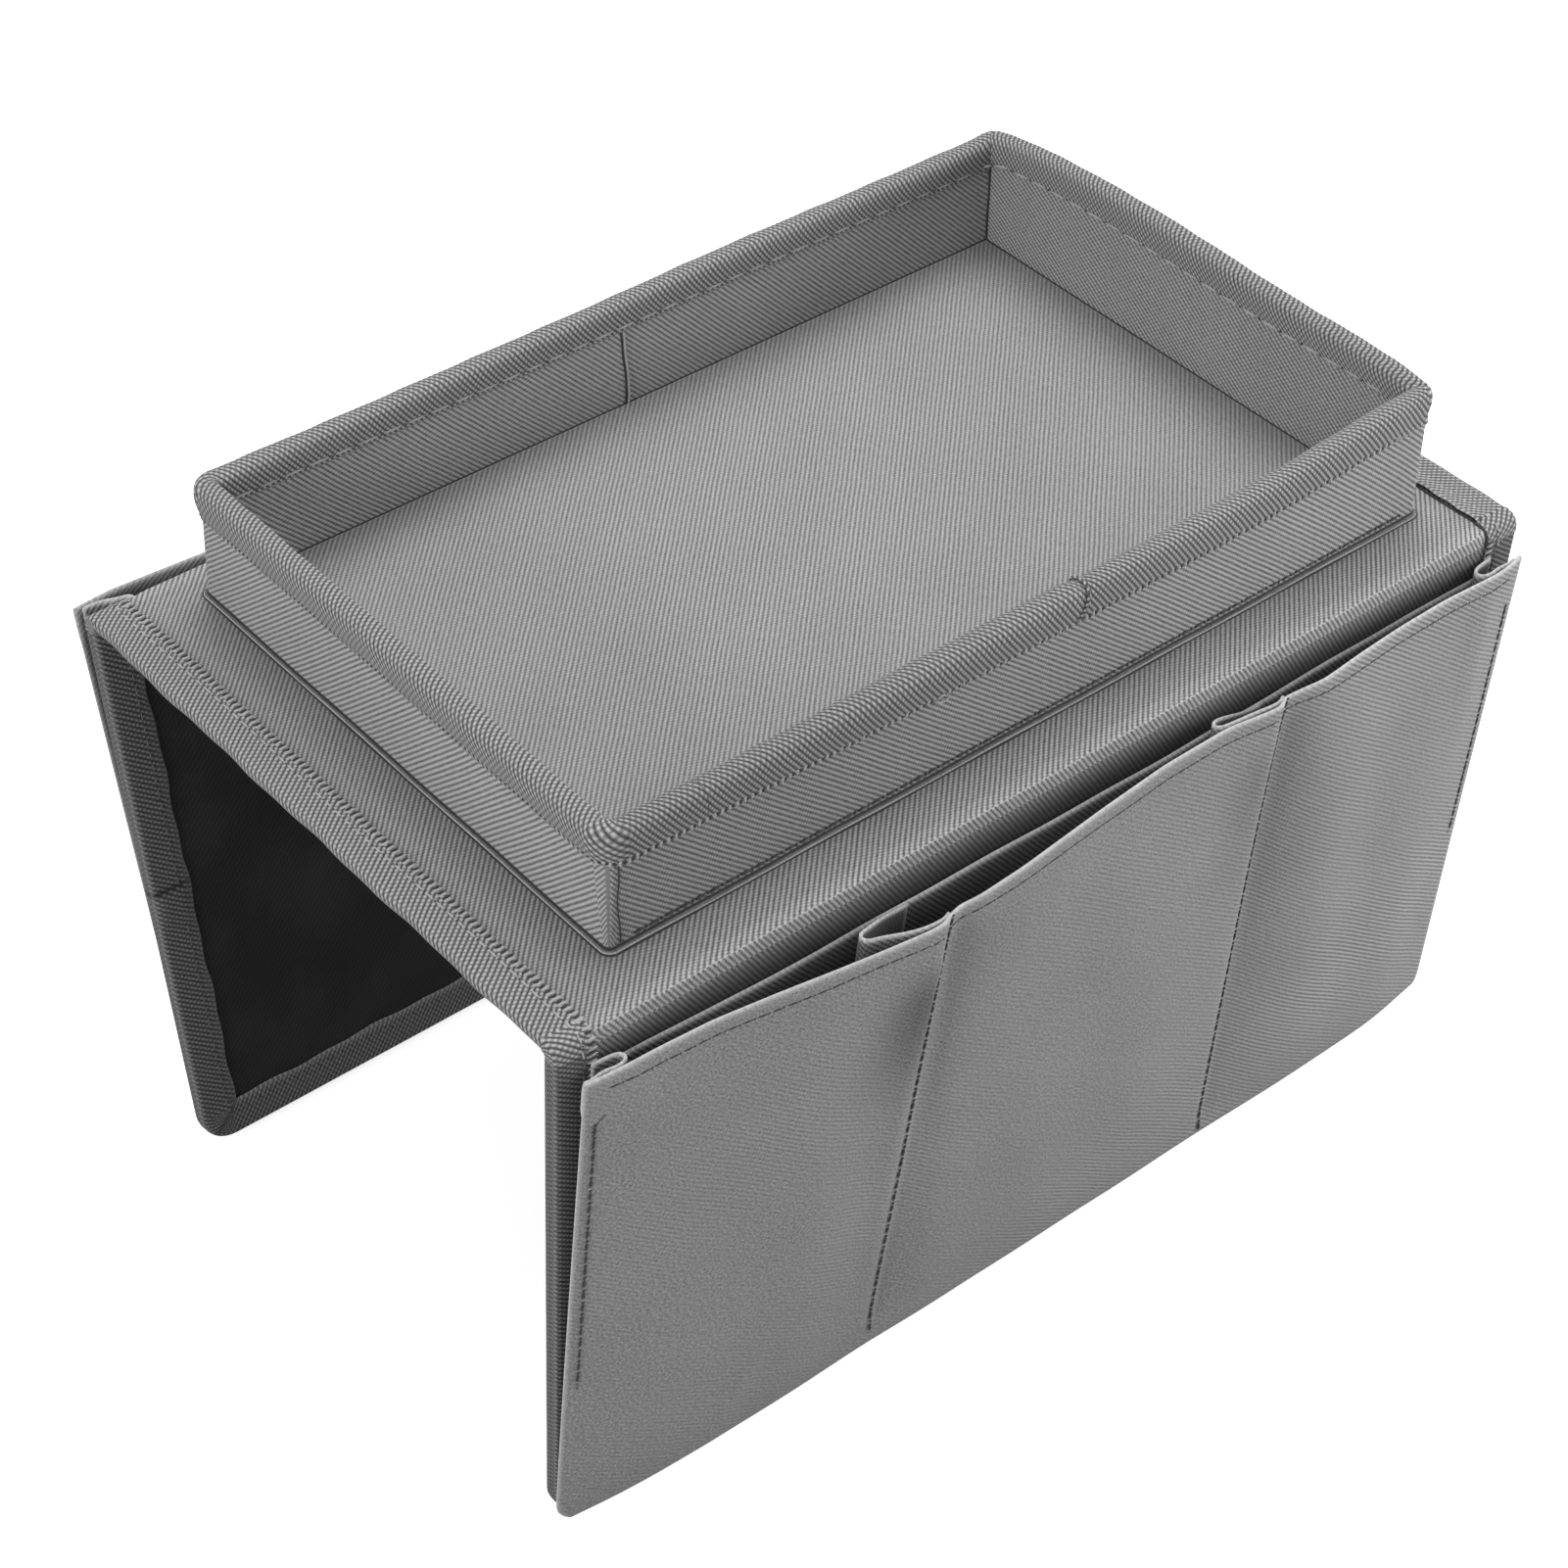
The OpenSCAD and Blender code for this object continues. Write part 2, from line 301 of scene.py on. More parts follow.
@dataclass
class ClothShell:
    """A sheet of cloth with a real thickness, round bare edges and flush sewn ones.

    Attributes:
        mid: Grid of the sheet's middle points, rows by columns, in millimetres.
        uv: Cloth coordinates of the grid, with one more column where the sheet is a loop.
        thick: Thickness in millimetres, one number or one for each point.
        loop: True where the last column joins the first.
        flush: Borders that butt against another piece: any of first_row, last_row, first_col, last_col.
        rub_and_highlight: Rubbed edge and painted highlight, added to that of the borders, for each point.
        turned: Row from which the cloth coordinates in turned_uv hold.
        turned_uv: Cloth coordinates of the part beyond a crease.
        calm: How far the weave is smoothed out, for each point.
        shade: Painted shade, how far the colour is darkened where shade falls, on the outer face and on the inner one,
            for each point.
    """

    mid: np.ndarray
    uv: np.ndarray
    thick: float | np.ndarray = PATTERN.cloth
    loop: bool = False
    flush: tuple[str, ...] = ()
    rub_and_highlight: np.ndarray | None = None
    turned: int | None = None
    turned_uv: np.ndarray | None = None
    calm: np.ndarray | float = 0.0
    shade: tuple[np.ndarray | float, np.ndarray | float] = (0.0, 0.0)

    def _grid_faces(self, cols: int, corners: np.ndarray) -> tuple[np.ndarray, np.ndarray]:
        """Vertex numbers and cloth coordinates of the sheet's outer faces."""
        row, col = corners
        nxt = (col + 1) % cols if self.loop else col + 1
        faces = np.stack([row * cols + col, row * cols + nxt, (row + 1) * cols + nxt, (row + 1) * cols + col], -1)
        uv = np.stack([self.uv[row, col], self.uv[row, col + 1], self.uv[row + 1, col + 1], self.uv[row + 1, col]], 1)
        if self.turned is not None:
            far = self.turned_uv
            other = np.stack([far[row, col], far[row, col + 1], far[row + 1, col + 1], far[row + 1, col]], 1)
            uv = np.where((row >= self.turned)[:, None, None], other, uv)
        return faces, uv

    def _borders(self, rows: int, cols: int) -> list[tuple[np.ndarray, np.ndarray, bool]]:
        """Each border's rows, columns and whether it butts, walked with the sheet on the left."""
        up, along = np.arange(rows), np.arange(cols)
        if self.loop:
            ring = np.append(along, 0)
            return [
                (np.zeros(cols + 1, int), ring, "first_row" in self.flush),
                (np.full(cols + 1, rows - 1), ring[::-1], "last_row" in self.flush),
            ]
        return [
            (np.zeros(cols, int), along, "first_row" in self.flush),
            (up, np.full(rows, cols - 1), "last_col" in self.flush),
            (np.full(cols, rows - 1), along[::-1], "last_row" in self.flush),
            (up[::-1], np.zeros(rows, int), "first_col" in self.flush),
        ]

    def build(self, name: str) -> bpy.types.Object:
        """Makes the sheet as a closed mesh.

        Args:
            name: The piece's name.

        Returns:
            The new object.
        """
        rows, cols = self.mid.shape[:2]
        if self.loop:
            du = np.roll(self.mid, -1, 1) - np.roll(self.mid, 1, 1)
        else:
            du = np.gradient(self.mid, axis=1)
        dv = np.gradient(self.mid, axis=0)
        normal = unit(np.cross(du, dv))
        half = np.broadcast_to(np.asarray(self.thick, float), (rows, cols))[..., None] / 2
        rub_and_highlight = np.zeros((rows, cols)) if self.rub_and_highlight is None else np.array(self.rub_and_highlight, float)
        grid = np.indices((rows - 1, cols if self.loop else cols - 1)).reshape(2, -1)
        outer, uv = self._grid_faces(cols, grid)
        size = rows * cols
        faces = [outer, (outer + size)[:, ::-1]]
        maps = [uv, uv[:, ::-1]]
        shift = np.zeros((rows, cols, 3))
        butt = np.zeros((rows, cols), bool)
        bare = np.zeros((rows, cols), bool)
        borders = self._borders(rows, cols)
        for k, (row, col, flush) in enumerate(borders):
            sense = (-1.0, 1.0)[k] if self.loop else (-1.0, 1.0, 1.0, -1.0)[k]
            away = unit((dv if self.loop or k % 2 == 0 else du)[row, col]) * sense
            if flush:
                butt[row, col] = True
            else:
                shift[row, col] += away
                bare[row, col] = True
        push = np.where(np.linalg.norm(shift, axis=-1, keepdims=True) > 0, unit(shift) * half, 0.0)
        rim = np.full((rows, cols), -1)
        edge_at = np.zeros((rows, cols), bool)
        for row, col, _ in borders:
            edge_at[row, col] = True
        rim[edge_at] = 2 * size + np.arange(edge_at.sum())
        for row, col, _ in borders:
            top, side, low = row * cols + col, rim[row, col], row * cols + col + size
            flat = self.uv[row, np.minimum(col, self.uv.shape[1] - 1)]
            pair = np.stack([flat[:-1], flat[:-1], flat[1:], flat[1:]], 1)
            faces.append(np.stack([top[:-1], side[:-1], side[1:], top[1:]], -1))
            faces.append(np.stack([side[:-1], low[:-1], low[1:], side[1:]], -1))
            maps += [pair, pair]
        points = np.concatenate(
            [
                (self.mid + normal * half).reshape(-1, 3),
                (self.mid - normal * half).reshape(-1, 3),
                (self.mid + push)[edge_at],
            ]
        )
        # Bare edges get a rubbed edge and painted highlight.
        near = np.maximum(rub_and_highlight, np.where(bare & ~butt, 0.45, 0.0))
        side_rub_and_highlight = np.where(bare & ~butt, 1.0, rub_and_highlight)[edge_at]
        worn_and_lit = np.concatenate([near.ravel(), near.ravel(), side_rub_and_highlight])
        still, outer, inner = (np.broadcast_to(v, (rows, cols)) for v in (self.calm, *self.shade))
        marks = {
            "calm": np.concatenate([still.ravel(), still.ravel(), still[edge_at]]),
            "shade": np.concatenate([outer.ravel(), inner.ravel(), np.minimum(outer, inner)[edge_at]]),
        }
        return make_object(name, points, np.concatenate(faces), np.concatenate(maps), worn_and_lit, **marks)

    def flat_size(self) -> tuple[tuple[float, float], float]:
        """The sheet's cut size.

        Returns:
            Width and length in metres, and the area in square metres.
        """
        ring = np.concatenate([self.mid, self.mid[:, :1]], 1) if self.loop else self.mid
        along = np.linalg.norm(np.diff(ring, axis=1), axis=-1).sum(1).max()
        up = np.linalg.norm(np.diff(self.mid, axis=0), axis=-1).sum(0).max()
        a, b, c, d = ring[:-1, :-1], ring[:-1, 1:], ring[1:, 1:], ring[1:, :-1]
        area = 0.5 * np.linalg.norm(np.cross(c - a, d - b), axis=-1).sum()
        return (along * MM, up * MM), area * MM * MM


def tube(name: str, path: np.ndarray, radius: float, closed: bool = False, sides: int = 8) -> bpy.types.Object:
    """A round cord along a path, with round caps where it is open.

    Args:
        name: The piece's name.
        path: The cord's middle line, in millimetres.
        radius: The cord's radius.
        closed: True where the path is a ring.
        sides: Faces round the cord.

    Returns:
        The new object.
    """
    path = np.asarray(path, float)
    if closed:
        tangent = unit(np.roll(path, -1, 0) - np.roll(path, 1, 0))
    else:
        tangent = unit(np.gradient(path, axis=0))
    side = unit(np.cross(tangent, np.where(np.abs(tangent[:, 2:]) > 0.9, [1.0, 0.0, 0.0], [0.0, 0.0, 1.0])))
    up = np.cross(side, tangent)
    sizes = np.full(len(path), radius)
    if not closed:
        path = np.concatenate([path[:1] - tangent[:1] * radius * 0.7, path, path[-1:] + tangent[-1:] * radius * 0.7])
        side, up = (np.concatenate([v[:1], v, v[-1:]]) for v in (side, up))
        sizes = np.concatenate([[radius * 0.15], sizes, [radius * 0.15]])
    turn = np.arange(sides) * math.tau / sides
    ring = np.cos(turn)[None, :, None] * side[:, None] + np.sin(turn)[None, :, None] * up[:, None]
    points = path[:, None] + ring * sizes[:, None, None]
    rows = len(path)
    row, col = np.indices((rows if closed else rows - 1, sides)).reshape(2, -1)
    nxt, far = (col + 1) % sides, (row + 1) % rows
    faces = np.stack([row * sides + col, row * sides + nxt, far * sides + nxt, far * sides + col], -1)
    at = walked(np.concatenate([path, path[:1]]))
    round_at = math.tau * radius / sides
    uv = np.stack([np.stack([at[row + p], (col + q) * round_at], -1) for p, q in ((0, 0), (0, 1), (1, 1), (1, 0))], 1)
    if not closed:
        caps = [[0, k + 1, k, 0] for k in range(1, sides - 1)]
        last = (rows - 1) * sides
        caps += [[last, last + k, last + k + 1, last] for k in range(1, sides - 1)]
        faces_list = [f for f in faces.tolist()] + [c[:3] for c in caps]
        flat = np.concatenate([uv.reshape(-1, 2), np.zeros((3 * len(caps), 2))]) * MM
        mesh = bpy.data.meshes.new(name)
        mesh.from_pydata((points.reshape(-1, 3) * MM).tolist(), [], faces_list)
        mesh.uv_layers.new(name="weave").data.foreach_set("uv", flat.astype(np.float32).ravel())
        mesh.attributes.new("edge", "FLOAT", "POINT")
        mesh.polygons.foreach_set("use_smooth", [True] * len(mesh.polygons))
        piece = bpy.data.objects.new(name, mesh)
        bpy.context.scene.collection.objects.link(piece)
        return piece
    return make_object(name, points.reshape(-1, 3), faces, uv * MM, np.zeros(rows * sides))


def joined(name: str, pieces: Sequence[bpy.types.Object]) -> bpy.types.Object:
    """Joins pieces into one mesh object at the origin."""
    with bpy.context.temp_override(active_object=pieces[0], selected_editable_objects=list(pieces)):
        bpy.ops.object.join()
    pieces[0].name = name
    return pieces[0]


# ---------------------------------------------------------------- finishes


class Nodes:
    """Short hand for building a material's node tree."""

    def __init__(self, name: str) -> None:
        """Starts an empty material with a Principled BSDF.

        Args:
            name: The material's name.
        """
        self.material = bpy.data.materials.new(name)
        self.material.use_nodes = True
        self.tree = self.material.node_tree
        self.shader = self.tree.nodes["Principled BSDF"]

    def add(self, kind: str, **values: object) -> bpy.types.Node:
        """Adds a node and sets its properties or unlinked inputs.

        Args:
            kind: Node type.
            **values: Property names, or input names with spaces written as underscores, and links or numbers.

        Returns:
            The node.
        """
        node = self.tree.nodes.new(kind)
        for key, value in values.items():
            if hasattr(node, key):
                setattr(node, key, value)
            else:
                self.feed(node.inputs[key.replace("_", " ")], value)
        return node

    def feed(self, socket: bpy.types.NodeSocket, value: object) -> None:
        """Links an output to a socket, or sets the socket's own value."""
        if isinstance(value, bpy.types.NodeSocket):
            self.tree.links.new(value, socket)
        else:
            socket.default_value = value

    def math(self, operation: str, *values: object) -> bpy.types.NodeSocket:
        """Adds a Math node on links or numbers and returns its output."""
        node = self.tree.nodes.new("ShaderNodeMath")
        node.operation = operation
        for socket, value in zip(node.inputs, values):
            self.feed(socket, value)
        return node.outputs[0]

    def mix(self, factor: object, low: object, high: object) -> bpy.types.NodeSocket:
        """Mixes two colours and returns the result."""
        node = self.tree.nodes.new("ShaderNodeMix")
        node.data_type = "RGBA"
        self.feed(node.inputs[0], factor)
        self.feed(node.inputs[6], low)
        self.feed(node.inputs[7], high)
        return node.outputs[2]

    def noise(self, vector: bpy.types.NodeSocket, size: tuple[float, float, float], detail: float = 2.0) -> bpy.types.NodeSocket:
        """Noise whose grains have a size in metres along each coordinate."""
        scaled = self.tree.nodes.new("ShaderNodeMapping")
        self.feed(scaled.inputs["Vector"], vector)
        scaled.inputs["Scale"].default_value = [1 / s for s in size]
        node = self.tree.nodes.new("ShaderNodeTexNoise")
        self.feed(node.inputs["Vector"], scaled.outputs[0])
        node.inputs["Scale"].default_value = 1.0
        node.inputs["Detail"].default_value = detail
        return node.outputs["Fac"]

    def bump(self, height: bpy.types.NodeSocket, depth: float, strength: float) -> None:
        """Gives the shader a bump of a height field that is depth metres deep."""
        node = self.tree.nodes.new("ShaderNodeBump")
        node.inputs["Strength"].default_value = strength
        node.inputs["Distance"].default_value = depth
        self.feed(node.inputs["Height"], height)
        self.feed(self.shader.inputs["Normal"], node.outputs[0])

    def worn_and_lit(self) -> bpy.types.NodeSocket:
        """The mesh's edge attribute, which marks rubbed edges and painted highlight."""
        return self.add("ShaderNodeAttribute", attribute_name="edge").outputs["Fac"]

    def wave(self, place: bpy.types.NodeSocket, pitch: float, shift: object = 0.0) -> bpy.types.NodeSocket:
        """A wave from 0 to 1 along a place in metres."""
        turned = self.math("MULTIPLY_ADD", place, math.tau / pitch, shift)
        return self.math("MULTIPLY_ADD", self.math("SINE", turned), 0.5, 0.5)


Colour = tuple[float, float, float, float]


def grey(level: float, warmth: float = 0.0) -> Colour:
    """A neutral colour.

    Args:
        level: Display level from 0 to 1.
        warmth: How much redder than bluer it is.

    Returns:
        The colour with alpha, as light.
    """
    light = level / 12.92 if level <= 0.04045 else ((level + 0.055) / 1.055) ** 2.4
    return (light * (1 + warmth), light, light * (1 - warmth), 1.0)


@dataclass(frozen=True)
class RibbedCloth:
    """Woven cover cloth with a raised slanting rib."""

    name: str = "ribbed_cover_cloth"
    ridge: Colour = grey(0.77)
    furrow: Colour = grey(0.25)
    # Colour of the rubbed edges and painted highlight along edges and creases.
    edge: Colour = grey(0.9)
    pitch: float = 0.0013
    depth: float = 0.00022

    def material(self) -> bpy.types.Material:
        """Builds the cloth's material on its own coordinates."""
        n = Nodes(self.name)
        uv = n.add("ShaderNodeUVMap", uv_map="weave").outputs[0]
        split = n.add("ShaderNodeSeparateXYZ", Vector=uv).outputs
        drift = n.math("MULTIPLY", n.noise(uv, (0.02, 0.02, 1.0)), 2.4)
        rib = n.wave(split[1], self.pitch, drift)
        streak = n.noise(uv, (0.0024, 0.0007, 1.0), 3.0)
        yarn = n.wave(split[0], 0.0011, n.math("MULTIPLY", split[1], math.pi / self.pitch))
        grain = n.noise(uv, (0.0005, 0.0005, 1.0), 3.0)
        bead = n.math("MULTIPLY", yarn, n.math("MULTIPLY_ADD", rib, 0.24, 0.08))
        height = n.math("MULTIPLY_ADD", rib, 0.5, bead)
        height = n.math("MULTIPLY_ADD", streak, 0.42, height)
        fine = n.math("MULTIPLY_ADD", grain, 0.5, height)
        calm = n.add("ShaderNodeAttribute", attribute_name="calm").outputs["Fac"]
        speck = n.noise(uv, (0.0008, 0.0007, 1.0), 3.0)
        plain = n.math("MULTIPLY_ADD", speck, 1.25, -0.17)
        share = n.add("ShaderNodeMix", Factor=calm)
        n.feed(share.inputs[2], n.math("MULTIPLY_ADD", fine, 1.1, -0.36))
        n.feed(share.inputs[3], plain)
        tone = n.mix(share.outputs[0], self.furrow, self.ridge)
        patch = n.math("MULTIPLY_ADD", n.noise(uv, (0.045, 0.03, 1.0), 3.0), 0.22, 0.89)
        tint = n.add("ShaderNodeMix", data_type="RGBA", blend_type="MULTIPLY")
        tint.inputs[0].default_value = 1.0
        n.feed(tint.inputs[6], tone)
        n.feed(tint.inputs[7], n.add("ShaderNodeCombineColor", Red=patch, Green=patch, Blue=patch).outputs[0])
        # Rubbed edges with painted highlight, and painted shade where the mesh's shade mark says.
        rubbed_and_lit = n.math("MULTIPLY", n.worn_and_lit(), n.math("MULTIPLY_ADD", streak, 0.8, 0.35))
        sunk = n.math("MULTIPLY", n.add("ShaderNodeAttribute", attribute_name="shade").outputs["Fac"], 0.85)
        deep = n.mix(sunk, tint.outputs[2], grey(0.09))
        n.feed(n.shader.inputs["Base Color"], n.mix(rubbed_and_lit, deep, self.edge))
        n.feed(n.shader.inputs["Roughness"], 0.88)
        n.feed(n.shader.inputs["Specular IOR Level"], 0.2)
        n.feed(n.shader.inputs["Sheen Weight"], 0.12)
        n.feed(n.shader.inputs["Sheen Roughness"], 0.45)
        relief = n.add("ShaderNodeMix", Factor=calm)
        n.feed(relief.inputs[2], height)
        n.feed(relief.inputs[3], n.math("MULTIPLY_ADD", speck, 0.5, n.math("MULTIPLY", height, 0.16)))
        n.bump(relief.outputs[0], self.depth, 0.8)
        return n.material


@dataclass(frozen=True)
class WaffleTape:
    """Grosgrain binding tape whose cross ribs break into a waffle of bright knots."""

    name: str = "waffle_binding_tape"
    knot: Colour = grey(0.76)
    gap: Colour = grey(0.2)
    # Colour of the rubbed edges and painted highlight.
    edge: Colour = grey(0.74)
    rib: float = 0.0017
    knots: float = 0.0022
    depth: float = 0.0003

    def material(self) -> bpy.types.Material:
        """Builds the tape's material, with U along the tape."""
        n = Nodes(self.name)
        uv = n.add("ShaderNodeUVMap", uv_map="weave").outputs[0]
        split = n.add("ShaderNodeSeparateXYZ", Vector=uv).outputs
        sway = n.math("MULTIPLY", n.noise(uv, (0.01, 0.01, 1.0)), 1.2)
        lean = n.math("MULTIPLY_ADD", split[1], math.tau / self.knots, sway)
        back = n.math("MULTIPLY_ADD", split[1], -math.tau / self.knots, sway)
        twill = n.wave(split[0], self.rib, lean)
        cross = n.wave(split[0], self.rib, back)
        grain = n.noise(uv, (0.0005, 0.0005, 1.0), 3.0)
        knot = n.math("MULTIPLY", twill, n.math("MULTIPLY_ADD", cross, 0.75, 0.25))
        height = n.math("MULTIPLY_ADD", twill, 0.16, n.math("MULTIPLY", knot, 0.84))
        tone = n.math("MULTIPLY_ADD", grain, 0.6, n.math("MULTIPLY_ADD", height, 1.0, -0.22))
        colour = n.mix(tone, self.gap, self.knot)
        # Painted shade where the mesh's shade mark says, and rubbed edges with painted highlight.
        sunk = n.math("MULTIPLY", n.add("ShaderNodeAttribute", attribute_name="shade").outputs["Fac"], 0.85)
        rubbed_and_lit = n.math("MULTIPLY", n.worn_and_lit(), n.math("MULTIPLY_ADD", grain, 0.9, 0.1))
        n.feed(n.shader.inputs["Base Color"], n.mix(rubbed_and_lit, n.mix(sunk, colour, grey(0.09)), self.edge))
        n.feed(n.shader.inputs["Roughness"], 0.82)
        n.feed(n.shader.inputs["Specular IOR Level"], 0.25)
        n.feed(n.shader.inputs["Sheen Weight"], 0.1)
        n.feed(n.shader.inputs["Sheen Roughness"], 0.4)
        n.bump(height, self.depth, 0.9)
        return n.material


@dataclass(frozen=True)
class CoatedLining:
    """Near-black plain-woven lining with a thin coating."""

    name: str = "coated_lining_cloth"
    thread: Colour = grey(0.215)
    gap: Colour = grey(0.12)
    pitch: float = 0.0011

    def material(self) -> bpy.types.Material:
        """Builds the lining's material on its own coordinates."""
        n = Nodes(self.name)
        uv = n.add("ShaderNodeUVMap", uv_map="weave").outputs[0]
        split = n.add("ShaderNodeSeparateXYZ", Vector=uv).outputs
        weave = n.math("MULTIPLY", n.wave(split[0], self.pitch), n.wave(split[1], self.pitch))
        cloud = n.noise(uv, (0.03, 0.03, 1.0), 4.0)
        slant = n.wave(split[0], 0.0021, n.math("MULTIPLY", split[1], math.tau / 0.0021))
        tone = n.math("MULTIPLY_ADD", weave, 0.4, n.math("MULTIPLY_ADD", slant, 0.45, n.math("MULTIPLY_ADD", cloud, 1.5, -0.7)))
        colour = n.mix(tone, self.gap, self.thread)
        # Lighter rubbed edges with painted highlight.
        n.feed(n.shader.inputs["Base Color"], n.mix(n.math("MULTIPLY", n.worn_and_lit(), 0.5), colour, grey(0.24)))
        n.feed(n.shader.inputs["Roughness"], n.math("MULTIPLY_ADD", cloud, 0.2, 0.55))
        n.feed(n.shader.inputs["Specular IOR Level"], 0.3)
        n.bump(weave, 0.00008, 0.7)
        return n.material


@dataclass(frozen=True)
class Fibreboard:
    """Grey recycled board that stiffens the panels."""

    name: str = "stiffening_fibreboard"
    pale: Colour = grey(0.74, 0.06)
    dark: Colour = grey(0.58, 0.09)

    def material(self) -> bpy.types.Material:
        """Builds the board's material on the part's own coordinates."""
        n = Nodes(self.name)
        place = n.add("ShaderNodeTexCoord").outputs["Object"]
        fibre = n.noise(place, (0.006, 0.0009, 0.0009), 4.0)
        fleck = n.noise(place, (0.0012, 0.0012, 0.0012), 2.0)
        tone = n.math("MULTIPLY_ADD", fibre, 0.7, n.math("MULTIPLY", fleck, 0.4))
        n.feed(n.shader.inputs["Base Color"], n.mix(tone, self.dark, self.pale))
        n.feed(n.shader.inputs["Roughness"], 0.92)
        n.bump(fibre, 0.0001, 0.6)
        return n.material


@dataclass(frozen=True)
class SewingThread:
    """Twisted polyester thread."""

    name: str
    light: Colour
    dark: Colour

    def material(self) -> bpy.types.Material:
        """Builds the thread's material, with its twist on the part's own coordinates."""
        n = Nodes(self.name)
        place = n.add("ShaderNodeTexCoord").outputs["Object"]
        split = n.add("ShaderNodeSeparateXYZ", Vector=place).outputs
        slant = n.math("ADD", n.math("ADD", split[0], split[1]), split[2])
        ply = n.wave(slant, 0.0007)
        fuzz = n.noise(place, (0.0005, 0.0005, 0.0005))
        tone = n.math("MULTIPLY_ADD", ply, 0.7, n.math("MULTIPLY", fuzz, 0.3))
        n.feed(n.shader.inputs["Base Color"], n.mix(tone, self.dark, self.light))
        n.feed(n.shader.inputs["Roughness"], 0.6)
        n.feed(n.shader.inputs["Sheen Weight"], 0.2)
        n.bump(ply, 0.0001, 0.7)
        return n.material


class Finish(Enum):
    """Every finish on the tray, with the record's slot that it belongs to."""

    COVER = (RibbedCloth(), "cover_cloth")
    TAPE = (WaffleTape(), "binding_tape")
    # A darker copy of the tape: painted shade for the flaps' tape.
    SHADED_TAPE = (WaffleTape("shaded_waffle_tape", grey(0.56), grey(0.17), grey(0.66)), "binding_tape")
    LINING = (CoatedLining(), "lining_cloth")
    BOARD = (Fibreboard(), "stiffening_board")
    THREAD = (SewingThread("grey_sewing_thread", grey(0.8), grey(0.55)), "binding_tape")
    SEAM = (SewingThread("sunk_seam_thread", grey(0.48), grey(0.26)), "binding_tape")
    # Near-black finish for painted shade in needle holes and grooves, also the dark thread of some stitch rows.
    SHADE = (SewingThread("needle_hole_shade", grey(0.2), grey(0.11)), "binding_tape")

    def material(self) -> bpy.types.Material:
        """The finish's material, built on its first use."""
        found = bpy.data.materials.get(self.value[0].name)
        return found or self.value[0].material()

    @property
    def slot(self) -> str:
        """The record's material slot."""
        return self.value[1]


def dress(piece: bpy.types.Object, finish: Finish, *nodes: str) -> bpy.types.Object:
    """Gives a piece its finish, unless it has one, and hides the nodes that it stands for.

    Args:
        piece: The piece.
        finish: Its finish.
        *nodes: Names of the nodes that it replaces.

    Returns:
        The piece.
    """
    if not piece.data.materials:
        piece.data.materials.append(finish.material())
    if nodes:
        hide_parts(*nodes)
    LOG.info("%s: %d faces, stands for %s", piece.name, len(piece.data.polygons), ", ".join(nodes) or "no node")
    return piece


# ---------------------------------------------------------------- stitching


class Stitch(Enum):
    """Kinds of stitch: pitch, length along, width across, height, needle hole radius, all in millimetres."""

    RUNNING = (4.2, 3.2, 0.5, 0.42, 0.3)
    LONG = (7.8, 6.6, 0.85, 0.6, 0.36)
    HOLES = (1.8, 0.85, 0.6, 0.5, 0.52)
    LADDER = (2.15, 0.9, 3.1, 0.62, 0.5)
    RIM = (2.3, 1.0, 2.2, 0.8, 0.58)
    SUNK = (4.0, 3.1, 0.55, 0.3, 0.34)
    SEAM = (4.6, 3.2, 1.05, 0.5, 0.55)
    TACK = (1.2, 0.7, 1.0, 0.5, 0.2)


@dataclass
class Run:
    """One row of stitches: the line it follows and the way the cloth faces there, in millimetres."""

    line: np.ndarray
    facing: np.ndarray


